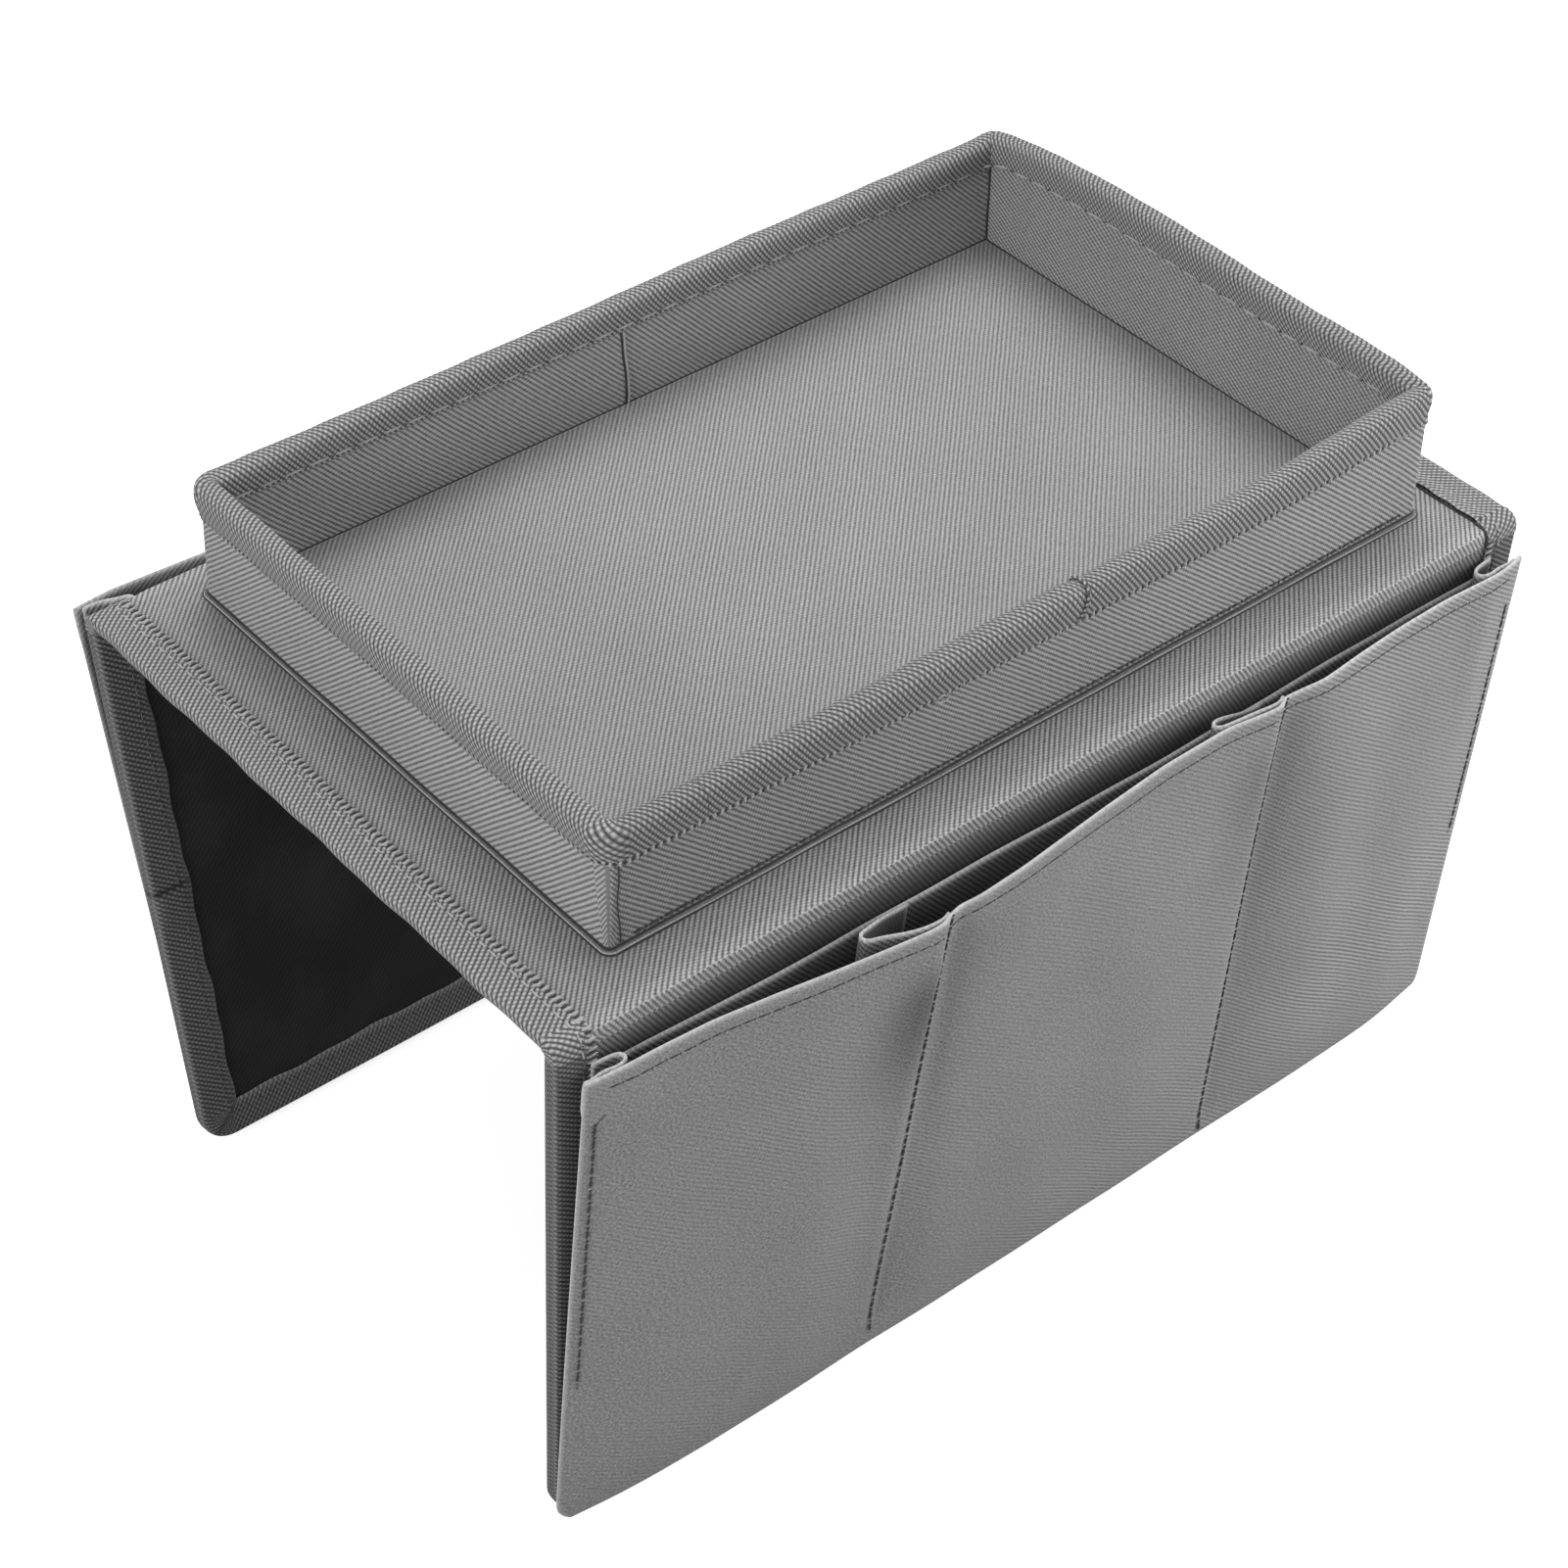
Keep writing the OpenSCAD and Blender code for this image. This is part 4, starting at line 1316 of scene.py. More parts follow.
    def thread_end(self) -> bpy.types.Object:
        """Makes the small loop of thread left where the rim's stitches end."""
        p = PATTERN
        turn = np.linspace(0.3, 5.6, 16)
        x = -33.0 + 1.9 * np.cos(turn) + 0.35 * turn
        z = p.rim_top - 11.6 + 1.1 * np.sin(turn)
        y = p.tray_y - p.tray_half_y - 1.1 - 0.3 * np.sin(turn * 0.5)
        loop = tube("thread_end", np.stack([x, np.broadcast_to(y, x.shape), z], -1), 0.28, sides=6)
        loop.data.materials.append(Finish.THREAD.material())
        return loop

    def rim_joins(self, profile: np.ndarray) -> bpy.types.Object:
        """Makes dark cords of painted shade where the rim tape's ends lap on the front run, and a tape-coloured cord
        for the raised edge of one end.

        Args:
            profile: The tape's inset and height, point by point.

        Returns:
            The cords as one piece.
        """
        p = PATTERN
        lines = []
        marks = (
            (self.lap[1] + 0.5, 0.25, 0.4, 0.26, Finish.SHADE),
            (self.lap[1] - 0.35, 0.25, 0.85, 0.5, Finish.TAPE),
            (self.lap[0] - 0.5, -0.12, 0.4, 0.16, Finish.SHADE),
        )
        for x, slant, proud_by, radius, finish in marks:
            part = profile[2:24]
            tangent = unit(np.gradient(part, axis=0))
            proud = part + np.stack([-tangent[:, 1], np.abs(tangent[:, 0])], -1) * proud_by
            at = np.stack([np.full(len(part), x) + slant * (part[:, 1] + 10), np.full(len(part), p.tray_y - p.tray_half_y)], -1)
            lift = self.lift(at)
            line = np.stack([at[:, 0], at[:, 1] + proud[:, 0], p.rim_top - 0.4 + proud[:, 1] + lift], -1)
            rope = tube("g", line, radius, sides=6)
            rope.data.materials.append(finish.material())
            lines.append(rope)
        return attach(dress(joined("rim_tape_joins_and_shade", lines), Finish.SHADE), "saddle")

    def build(self) -> None:
        """Makes every piece of the tray."""
        p = PATTERN
        self.wall_cloth("tray_outer_cloth", "tray_outer_wall_cloth", p.cloth / 2, 1.0, (-40.0, 43.0))
        self.wall_cloth("tray_inner_cloth", "tray_inner_wall_cloth", p.panel - p.cloth / 2, -1.0, (45.0, 32.0))
        self.rim()
        self.floor()
        self.seams()
        self.stitching()


@dataclass
class Fold:
    """The soft stretch between the top panel and one flap.

    Attributes:
        side: The side of the arm.
        sewing: The stitch tree.
        crease: How sharp the crease is in the middle of the fold.
    """

    side: Side
    sewing: StitchTree
    crease: float = 9.0

    def arc(self, radius: float | np.ndarray, share: np.ndarray, sharp: float | np.ndarray = 2.0) -> tuple[np.ndarray, np.ndarray]:
        """A layer's line round the fold.

        Args:
            radius: The layer's distance from the fold axis.
            share: 0 at the top panel and 1 at the flap.
            sharp: 2 for a round fold, and more for a sharper crease.

        Returns:
            Outward and upward distance from the fold axis.
        """
        turn = share * (math.pi / 2 + self.side.lean)
        early = np.minimum(turn, math.pi / 2)
        late = np.maximum(turn - math.pi / 2, 0.0)
        power = 2.0 / sharp
        out = radius * np.abs(np.sin(early)) ** power * np.cos(late)
        up = radius * np.abs(np.cos(early)) ** power - radius * np.sin(late)
        up = np.where(turn > math.pi / 2, -radius * np.sin(late), up)
        return out, up

    def _bend(self, piece: bpy.types.Object, radius: float) -> bpy.types.Object:
        """Bakes a piece's place into its mesh; the fold's start and end are worked out but not used."""
        start, end = (
            self.side.from_fold(np.array(0.0), *self.arc(radius, np.array(share))) * MM for share in (0.0, 1.0)
        )
        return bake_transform(piece, "saddle", self.side.body("flap"), start=tuple(start), end=tuple(end))

    def cover(self) -> bpy.types.Object:
        """Makes the creased cover cloth."""
        p = PATTERN
        x = steps(-p.half_len + p.tape, p.half_len - p.tape, 4.0)[None, :]
        share = np.linspace(-1.0, 1.0, 33)[:, None]
        share = 0.49 + 0.49 * np.sign(share) * np.abs(share) ** 1.7
        share = np.where(share > 0.975, 1.0, share)
        share[0], share[-1] = 0.0, 1.0
        sharp = 2.6 + (self.crease - 2.6) * rise((155 - np.abs(x)) / 9)
        out, up = self.arc(p.fold_r - p.cloth / 2, share, sharp)
        mid = self.side.from_fold(x, out, up)
        middle = walked(mid[:, mid.shape[1] // 2])
        turned = int(np.argmin(np.abs(share[:, 0] - 0.49)))
        top_uv = rib_map(mid[..., 0], mid[..., 1], 45.0)
        strip_uv = rib_map(x, -middle[:, None], -57.0)
        # Along the crease, a patchy line of rubbed edge and painted highlight.
        patchiness = 0.75 + 0.25 * np.sin(x * 1.3) * np.sin(x * 0.37)
        rub_and_highlight = patchiness * np.exp(-(((share - 0.487) / 0.02) ** 2)) * rise((156 - np.abs(x)) / 6)
        shell = ClothShell(mid, top_uv, flush=("first_row", "last_row"), rub_and_highlight=rub_and_highlight, turned=turned, turned_uv=strip_uv)
        # Painted shade, a little over the whole fold and more down towards the flap.
        shell.shade = (0.12 + 0.28 * rise((share - 0.5) / 0.45), 0.0)
        piece = dress(shell.build(self.side.node("crease_cloth")), Finish.COVER, self.side.node("fold_cover"))
        return lay_sheet(self._bend(piece, p.fold_r), shell, "folded", "top_panel_cover", self.side.node("flap_cloth"))

    def lining(self) -> bpy.types.Object:
        """Makes the lining on the inside of the fold."""
        p = PATTERN
        x = steps(-p.half_len + p.tape, p.half_len - p.tape, 8.0)[None, :]
        share = np.linspace(0.0, 1.0, 11)[:, None]
        radius = p.fold_r - p.panel + p.cloth / 2
        out, up = self.arc(radius, share)
        mid = self.side.from_fold(x, out, up)
        shell = ClothShell(mid, rib_map(x, share * 3.0, 0.0), flush=("first_row", "last_row"))
        piece = dress(shell.build(self.side.node("crease_lining")), Finish.LINING, self.side.node("fold_lining"))
        return lay_sheet(self._bend(piece, radius), shell, "folded", "top_panel_lining", self.side.node("flap_inner_cloth"))

    def tapes(self) -> bpy.types.Object:
        """Makes the two tapes that run round the ends of the fold."""
        p = PATTERN
        share = np.linspace(0.0, 1.0, 19)
        legs = 10
        parts = []
        for end in (-1, 1):
            rows = []
            for k in range(legs):
                inset = 11.5 + (0.9 - 11.5) * k / (legs - 1)
                out, up = self.arc(p.fold_r + p.tape / 2 + 0.12 * math.sin(math.pi * k / legs), share, 2.6)
                rows.append(self.side.from_fold(np.full(19, end * (p.half_len - inset)), out, up))
            for k in range(6):
                mix = k / 5
                radius = (p.fold_r + 0.25) * (1 - mix) + (2.2 - 0.75 * share) * mix
                out, up = self.arc(radius, share, 2.6 - 0.6 * mix)
                rows.append(self.side.from_fold(np.full(19, end * (p.half_len - 0.38)), out, up))
            for k in range(legs):
                inset = 0.9 + (11.5 - 0.9) * k / (legs - 1)
                out, up = self.arc(1.72 - 0.82 * share, share)
                rows.append(self.side.from_fold(np.full(19, end * (p.half_len - inset)), out, up))
            mid = np.stack(rows)
            at = walked(mid[:, 9])
            along = walked(mid[legs // 2])
            uv = np.stack(np.broadcast_arrays(along[None, :], at[:, None]), -1) * MM
            parts.append(ClothShell(mid, uv, p.tape, flush=("first_col", "last_col")).build("fold_tape"))
        piece = joined(self.side.node("corner_tapes"), parts)
        return self._bend(dress(piece, Finish.TAPE, self.side.node("fold_bindings")), p.fold_r)

    def groove(self) -> bpy.types.Object:
        """Makes a dark cord of painted shade in the groove beside the right corner tape."""
        p = PATTERN
        share = np.linspace(0.0, 1.0, 16)
        out, up = self.arc(p.fold_r + 0.2, share, 2.6)
        line = self.side.from_fold(np.full(16, self.side.turn * (p.back_half - 0.45)), out, up)
        rope = tube(self.side.node("corner_groove_shade"), line, 0.6, sides=8)
        return self._bend(dress(rope, Finish.SHADE), p.fold_r)

    def stitching(self) -> bpy.types.Object:
        """Sews the corner tapes down."""
        p = PATTERN
        share = np.linspace(0.02, 0.98, 14)
        ladder, running = [], []
        for end in (-1, 1):
            out, up = self.arc(p.fold_r + p.tape, share, 2.6)
            facing = self.side.from_fold(np.zeros(14), out, up) - self.side.from_fold(np.zeros(14), out * 0, up * 0)
            edge = self.side.from_fold(np.full(14, end * (p.back_half + 0.7)), out, up)
            if end * self.side.turn < 0:
                ladder.append(Run(edge, unit(facing)))
            seam = self.side.from_fold(np.full(14, end * (p.back_half + 3.6)), out * 1.03, up * 1.03)
            running.append(Run(seam, unit(facing)))
        parts = [
            self.sewing.sew("corner_ladder", ladder, Stitch.LADDER, seed=3),
            self.sewing.sew("corner_running", running, Stitch.RUNNING, seed=4),
        ]
        piece = dress(joined(self.side.node("corner_stitching"), parts), Finish.THREAD)
        return self._bend(piece, p.fold_r)

    def build(self) -> None:
        """Makes every piece of the fold."""
        self.cover()
        self.lining()
        self.tapes()
        self.groove()
        self.stitching()


@dataclass
class Flap:
    """One stiffened flap with its cover, lining and edge tape, built in the flap's space.

    Attributes:
        side: The side of the arm.
        sewing: The stitch tree.
    """

    side: Side
    sewing: StitchTree
    join_z: float = -86.0

    def width_at(self, z: np.ndarray, inset: float) -> np.ndarray:
        """Half the flap's width at a height, with its lower corners rounded."""
        p = PATTERN
        radius = p.flap_corner - inset
        low = np.clip(p.foot + inset + radius - z, 0.0, radius)
        return p.half_len - inset - radius + np.sqrt(np.maximum(radius**2 - low**2, 0.0))

    def sheet(self, y: float, inset: float, slant: float, seed: int, slack: float) -> ClothShell:
        """One layer of the flap.

        Args:
            y: Place of the layer's middle.
            inset: Distance inside the flap's outline.
            slant: Direction of the ribs, in degrees.
            seed: Fixes the cloth's waves.
            slack: Height of the waves, outward.

        Returns:
            The layer's shell.
        """
        p = PATTERN
        z = np.concatenate([p.foot + inset + np.array([0.0, 0.3, 1.0, 2.2, 4.2, 7.0]), np.linspace(p.foot + 12, 0.02, 44)])[:, None]
        share = steps(-1.0, 1.0, 0.026, 0.008)[None, :]
        x = share * self.width_at(z, inset)
        free = rise((p.back_half - np.abs(x)) / 8) * rise(-z / 6) * rise((z - p.foot) / 14)
        wave = slack * free * ripples(x, z, seed)
        mid = self.side.from_flap(np.stack(np.broadcast_arrays(x, y + wave, z), -1))
        return ClothShell(mid, rib_map(x, z, slant), flush=("last_row",))

    def cover(self) -> bpy.types.Object:
        """Makes the flap's outer cloth."""
        p = PATTERN
        shell = self.sheet(-p.fold_r + p.cloth / 2, p.tape, -57.0, 31, 0.0)
        # Painted shade over the flap's cover, full below its top few millimetres.
        depth = (p.fold_z - shell.mid[..., 2]) / 9.0
        shell.shade = (0.4 + 0.58 * rise(depth * 1.3), 0.0)
        piece = dress(shell.build(self.side.node("flap_cloth")), Finish.COVER, self.side.node("flap_cover"))
        return lay_sheet(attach(piece, self.side.body("flap")), shell, "stretched", self.side.node("flap_board"))

    def lining(self) -> bpy.types.Object:
        """Makes the flap's lining, on the side of the arm."""
        p = PATTERN
        shell = self.sheet(-p.fold_r + p.panel - p.cloth / 2, p.tape, 0.0, 37, 0.0)
        wave = 0.35 * (1 + ripples(shell.mid[..., 0], shell.mid[..., 2], 41, 30, 80))
        free = rise((150 - np.abs(shell.mid[..., 0])) / 20) * rise(-(shell.mid[..., 2] + 6) / 12) * rise((shell.mid[..., 2] + 166) / 14)
        shell.mid[..., 1] += self.side.turn * wave * free
        piece = dress(shell.build(self.side.node("flap_inner_cloth")), Finish.LINING, self.side.node("flap_lining"))
        return lay_sheet(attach(piece, self.side.body("flap")), shell, "stretched", self.side.node("flap_board"))

    def edge_line(self, inset: float | np.ndarray) -> np.ndarray:
        """The flap's bound edge drawn in by an inset, from the top of its left end to the top of its right end.

        Args:
            inset: Distance inside the outline.

        Returns:
            X and Z of each point.
        """
        p = PATTERN
        radius = max(p.flap_corner - inset, 0.25)
        half, foot = p.half_len - inset, p.foot + inset
        turn = np.linspace(0, math.pi / 2, 9)
        down = np.concatenate([np.linspace(0.0, p.foot + p.tape_w + 1.5, 44), self.join_z + np.array([-1.6, -0.9, -0.3, 0.3, 0.9, 1.6])])
        down = -np.sort(-down)
        left = np.stack([np.full(50, -half), down], -1)
        corner = np.stack([-half + radius - radius * np.cos(turn), foot + radius - radius * np.sin(turn)], -1)
        run = np.linspace(-p.half_len + p.tape_w + 1.5, p.half_len - p.tape_w - 1.5, 80)
        low = np.stack([run, np.full(80, foot)], -1)
        right = corner[::-1] * [-1, 1]
        return np.concatenate([left, corner, low, right, left[::-1] * [-1, 1]])

    def tape(self) -> bpy.types.Object:
        """Makes the tape folded over both ends and the lower edge."""
        p = PATTERN
        outer, inner = -p.fold_r - p.tape / 2, -p.fold_r + p.panel + p.tape / 2
        legs = [11.5, 9.5, 7.5, 5.5, 3.5, 2.0, 1.0]
        profile = [(e, outer - 0.12 * math.sin(e / 11.5 * math.pi)) for e in legs]
        profile += [(0.45, outer + 0.35), (0.36, outer + 1.2), (0.36, (outer + inner) / 2), (0.36, inner - 1.2), (0.45, inner - 0.35)]
        profile += [(e, inner + 0.12 * math.sin(e / 11.5 * math.pi)) for e in reversed(legs)]
        rows = []
        for inset, y in profile:
            line = self.edge_line(inset)
            at = walked(line)
            rub = 0.2 * np.sin(at / 6.1) + 0.14 * np.sin(at / 2.3)
            fold = 0.45 * sum(np.exp(-(((at - c) / 2.2) ** 2)) for c in (at[54], at[-55]))
            loose = 0.3 * np.sin(at / 6.7 + 1) + 0.28 * np.sin(at / 2.9) if inset > 11.0 and y > outer + 1 else 0.0 * at
            sense = -1.0 if y < (outer + inner) / 2 else 1.0
            leg = 1.0 if 1.0 < inset < 11.0 else 0.0
            line = line + loose[:, None] * np.stack([-np.sign(line[:, 0]) * (line[:, 1] > p.foot + 12), line[:, 1] < p.foot + 12], -1)
            lap = 0.75 * rise((self.join_z - line[:, 1]) / 1.2) * rise((line[:, 1] - self.join_z + 13) / 4) * (line[:, 0] > 100)
            rows.append(np.stack([line[:, 0], y + sense * leg * (fold + lap) + 0.06 * rub, line[:, 1]], -1))
        mid = self.side.from_flap(np.stack(rows))
        at = walked(mid[len(legs) + 2])
        across = walked(np.array(profile))
        uv = np.stack(np.broadcast_arrays(at[None, :], across[:, None]), -1) * MM
        # The tape's turned edges get a rubbed edge and painted highlight.
        turn = np.array([0.45 if e < 0.5 and abs(y - (outer + inner) / 2) > 1.5 else 0.0 for e, y in profile])
        rub_and_highlight = np.repeat(turn[:, None], len(at), 1)
        shell = ClothShell(mid, uv, p.tape, flush=("first_col", "last_col"), rub_and_highlight=rub_and_highlight)
        # Painted shade on the tape's web, and in the gaps at the tape's join and mitred corners.
        web = np.array([[0.6 if e < 0.5 else 0.0] for e, _ in profile])
        line = self.edge_line(5.0)
        join = 0.95 * np.exp(-(((line[:, 1] - self.join_z) / 0.75) ** 2)) * (line[:, 0] > 100)
        mitre = 0.6 * sum(np.exp(-(((at - c) / 1.3) ** 2)) for c in (at[54], at[-55]))
        marks = np.maximum(join, mitre)[None, :] + 0.0 * web
        shell.shade = (np.maximum(web, marks * (web < 0.1)), marks)
        piece = dress(shell.build(self.side.node("flap_tape")), Finish.SHADED_TAPE, self.side.node("flap_binding"))
        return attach(piece, self.side.body("flap"))

    def stitching(self) -> bpy.types.Object:
        """Sews the edge tape down on both faces."""
        p = PATTERN
        lean = self.side.lean
        out = np.array([0.0, -math.cos(lean), -math.sin(lean)]) * [1, self.side.turn, 1]
        runs, ladders = [], []
        for y, sense in ((-p.fold_r - p.tape, 1.0), (-p.fold_r + p.panel + p.tape, -1.0)):
            line = self.edge_line(8.4)
            runs.append(Run(self.side.from_flap(np.stack([line[:, 0], np.full(len(line), y - sense * 0.1), line[:, 1]], -1)), out * sense))
            if sense > 0:
                edge = self.edge_line(10.9)
                ladders.append(Run(self.side.from_flap(np.stack([edge[:, 0], np.full(len(edge), y), edge[:, 1]], -1)), out))
        parts = [
            self.sewing.sew("flap_rows", runs, Stitch.RUNNING, Finish.SEAM),
            self.sewing.sew("flap_ladder", ladders, Stitch.LADDER),
        ]
        piece = dress(joined(self.side.node("flap_stitching"), parts), Finish.THREAD)
        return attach(piece, self.side.body("flap"))

    def build(self) -> None:
        """Makes every piece of the flap."""
        self.cover()
        self.lining()
        self.tape()
        self.stitching()


@dataclass
class PocketBank:
    """Three bellows pockets on one flap, built in the flap's space.

    Attributes:
        side: The side of the arm.
        sewing: The stitch tree.
        mouth_knots: Distance of the pocket front's mouth from the fold axis, along the bank.
        foot_knots: The same distance at the lower edge.
        mouth_rise: How much higher the mouth stands, along the bank.
        seams: Each divider seam's X at the mouth and at its foot, and the height of its foot above the lower edge.
        fold_depth: How far each divider's pleat reaches behind the pocket beside it.
        end_top: Height of the two end gussets' top edges.
        belly: How far each pocket's cloth bulges in its middle.
        end_draw: How far the left end's foot is drawn past the flap's tape.
    """

    side: Side
    sewing: StitchTree
    mouth_knots: tuple[tuple[float, float], ...] = (
        (-162, 10.4), (-158, 10.9), (-150, 11.4), (-141, 11.6), (-124, 12.6), (-107, 15.0), (-91, 17.6), (-75, 20.0), (-62, 21.6),
        (-57.5, 21.4), (-55.5, 20.4), (-52, 19.0), (-46, 19.6), (-30, 18.6), (0, 15.2), (24, 13.0), (47, 12.6), (60, 14.6),
        (65, 15.0), (67.5, 13.0), (72, 13.2), (81, 14.2), (96, 12.8), (112, 11.7), (131, 11.3), (143, 11.9), (150, 12.3),
        (156, 11.9), (162, 10.4),
    )
    foot_knots: tuple[tuple[float, float], ...] = ((-162, 6.7), (-155, 8.2), (-140, 9.8), (-100, 10.8), (0, 11.1), (90, 11.3), (140, 10.9), (152, 9.6), (162, 7.6))
    mouth_rise: tuple[tuple[float, float], ...] = ((-162, 0.0), (162, 0.0))
    seams: tuple[tuple[float, float, float], ...] = ((-55.5, -62.0, 9.0), (67.5, 65.5, 5.0))
    fold_depth: float = 22.0
    end_top: tuple[float, float] = (-4.5, -4.5)
    belly: float = 3.6
    end_draw: float = 4.6

    def __post_init__(self) -> None:
        """Prepares the soft curves of the mouth and the lower edge."""
        self.mouth_out = smooth_curve(self.mouth_knots, 1.4)
        self.foot_out = smooth_curve(self.foot_knots, 8.0)
        self.mouth_up = smooth_curve(self.mouth_rise, 5.0)

    def seam_x(self, seam: tuple[float, float, float], share: np.ndarray) -> np.ndarray:
        """A divider seam's place along the bank at a share of the height."""
        return seam[1] + (seam[0] - seam[1]) * share

    def reach(self, x: np.ndarray, share: np.ndarray) -> np.ndarray:
        """How far the pocket front's middle stands out from the fold axis.

        Args:
            x: Place along the bank.
            share: 0 at the lower edge and 1 at the mouth.

        Returns:
            The distance, in millimetres.
        """
        p = PATTERN
        out = self.foot_out(x) + (self.mouth_out(x) - self.foot_out(x)) * share**1.15
        edges = [np.full(np.shape(share), -p.front_half), *(self.seam_x(s, share) for s in self.seams), np.full(np.shape(share), p.front_half)]
        arch = np.zeros(np.broadcast(x, share).shape)
        for low, high in zip(edges[:-1], edges[1:]):
            place = np.clip((x - low) / (high - low), 0, 1)
            arch = arch + np.sin(math.pi * place) ** 1.3
        out = out + self.belly * arch * np.sin(math.pi * np.clip(share, 0, 1)) ** 0.8
        for seam in self.seams:
            live = rise((share * 173 - seam[2] + 2) / 7)
            below = rise((1 - share) * 173 / 14)
            out = out - (0.4 + 0.35 * below) * live * np.exp(-(((x - self.seam_x(seam, share)) / 1.7) ** 2))
            aside = x - self.seam_x(seam, share)
            fade = np.clip(share, 0, 1) ** 2
            out = out - 1.9 * below * live * np.exp(-((aside / 13.0) ** 2)) * rise(aside / 3.0)
            bulk = 3.4 if seam[0] < 0 else 1.5
            out = out + bulk * fade * live * np.exp(-((aside / (5.0 + 9.0 * fade)) ** 2)) * rise((-aside - 0.6) / 4.5) * below
        ends = rise((p.front_half - np.abs(x)) / 16)
        wave = ripples(x + share * 22, share * 58, 51 if self.side is Side.FRONT else 57, 26, 80)
        out = out + 1.35 * ends * wave * np.sin(math.pi * np.clip(share, 0, 1)) ** 0.7
        push = np.exp(-(((np.abs(x) - 147) / 4.5) ** 2)) * rise((share - 0.45) / 0.5) * rise((1 - share) * 173 / 12)
        out = out + 1.3 * push
        crease = np.exp(-(((x + 118 - share * 62) / 4.5) ** 2)) * rise((0.34 - share) / 0.2) * rise(share / 0.06)
        return out + 0.7 * crease

    def height(self, x: np.ndarray, share: np.ndarray) -> np.ndarray:
        """Height of the pocket front at a share, in the flap's space."""
        p = PATTERN
        sag = 0.9 * rise((1 - np.abs(x) / p.front_half) / 0.25)
        return (p.foot - sag) * (1 - share) + (p.mouth + self.mouth_up(x)) * share

    def columns(self) -> np.ndarray:
        """Places along the bank, close together near the seams."""
        p = PATTERN
        marks = [-p.front_half, *(s[0] for s in self.seams), p.front_half]
        parts = [steps(-p.front_half, marks[1] - 7, 3.6)]
        for k, mark in enumerate(marks[1:-1]):
            parts.append(mark + np.array([-5.2, -3.6, -2.4, -1.5, -0.8, 0.0, 0.8, 1.5, 2.4, 3.6, 5.2]))
            parts.append(steps(mark + 7, (marks[k + 2] - 7) if k + 2 < len(marks) - 1 else p.front_half, 3.6))
        return np.unique(np.concatenate(parts))

    def front(self) -> bpy.types.Object:
        """Makes the pocket front with its turned lower edge and folded hem."""
        p = PATTERN
        share = np.concatenate([[0.0, 0.004, 0.012], np.linspace(0.022, 0.9, 52), np.linspace(0.91, 0.985, 9), [0.994, 1.0]])[:, None]
        base = self.columns()[None, :]
        shift = sum(
            (self.seam_x(s, share) - s[0]) * np.exp(-(((base - s[0]) / 45) ** 2)) for s in self.seams
        )
        x = base + shift
        corner = np.where(base < 0, 6.0 + self.end_draw, 6.0)
        low = np.clip(corner - (share * 173), 0, corner)
        width = p.front_half - corner + np.sqrt(np.maximum(corner**2 - low**2, 0.0))
        x = x * (width / p.front_half)
        curl = 2.4 * np.clip(1 - share / 0.014, 0, 1) ** 2
        out = self.reach(x, share) - curl
        hem = rise((share - (1 - (p.hem + 0.6) / 173)) * 173 / 0.9)
        out = out - 0.3 * hem
        z = self.height(x, share) + 0.5 * curl
        mid = self.side.from_flap(np.stack(np.broadcast_arrays(x + self.slant(x, share), -out, z), -1))
        thick = np.broadcast_to(p.cloth + 0.55 * hem, mid.shape[:2])
        uv = rib_map(x, z, -38.0)
        # A rubbed edge and painted highlight along the mouth.
        rub_and_highlight = 0.3 * np.exp(-(((share - 1) * 173 / 1.0) ** 2)) + 0.0 * x
        calm = np.clip(0.85 + 0.2 * ripples(x, z, 77, 60, 160) - 0.4 * rise((x - 10) / 110), 0, 0.95)
        shell = ClothShell(mid, uv, thick, rub_and_highlight=rub_and_highlight, calm=calm)
        # Painted shade beside the seams on the outer face, and inside the pocket on the inner face.
        shell.shade = (self.painted_seam_shade(x, share), 0.6 * rise((1 - share) * 173 / 4))
        piece = dress(shell.build(self.side.node("pocket_cloth")), Finish.COVER, self.side.node("pocket_front"))
        return lay_sheet(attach(piece, self.side.body("pocket")), shell, "hung", self.side.node("bank_hem"))

    def slant(self, x: np.ndarray, share: np.ndarray) -> np.ndarray:
        """How far the cloth's left end is drawn along the bank, out at its foot and in at its mouth."""
        drawn = 1.7 * share**2 - self.end_draw * (1 - share) ** 1.15
        return (drawn if self.end_draw > 0 else 0.0) * np.exp(-(((x + 162) / 34) ** 2))

    def painted_seam_shade(self, x: np.ndarray, share: np.ndarray) -> np.ndarray:
        """Painted shade on the pocket front's face beside its seams."""
        down = (1 - share) * 173
        dark = np.zeros(np.broadcast(x, share).shape)
        for seam, depth in zip(self.seams, (0.58, 0.24)):
            aside = x - self.seam_x(seam, share)
            spread = 7.0 + 7.0 * rise(down / 60)
            fade = np.where(down < 26, rise((down - 5) / 20), np.exp(-(((down - 26) / 30) ** 2)))
            dark = dark + depth * fade * rise(-aside / 2.0) * np.exp(-(((aside + 6.0) / spread) ** 2))
        return dark

    def back_lean(self, x: np.ndarray, share: np.ndarray) -> np.ndarray:
        """How far the pocket back's upper part leans off the flap."""
        return rise((share - 0.75) / 0.25) * (0.5 + 1.5 * np.exp(-(((x - 5) / 95) ** 2)) + 0.2 * np.sin(x / 21))

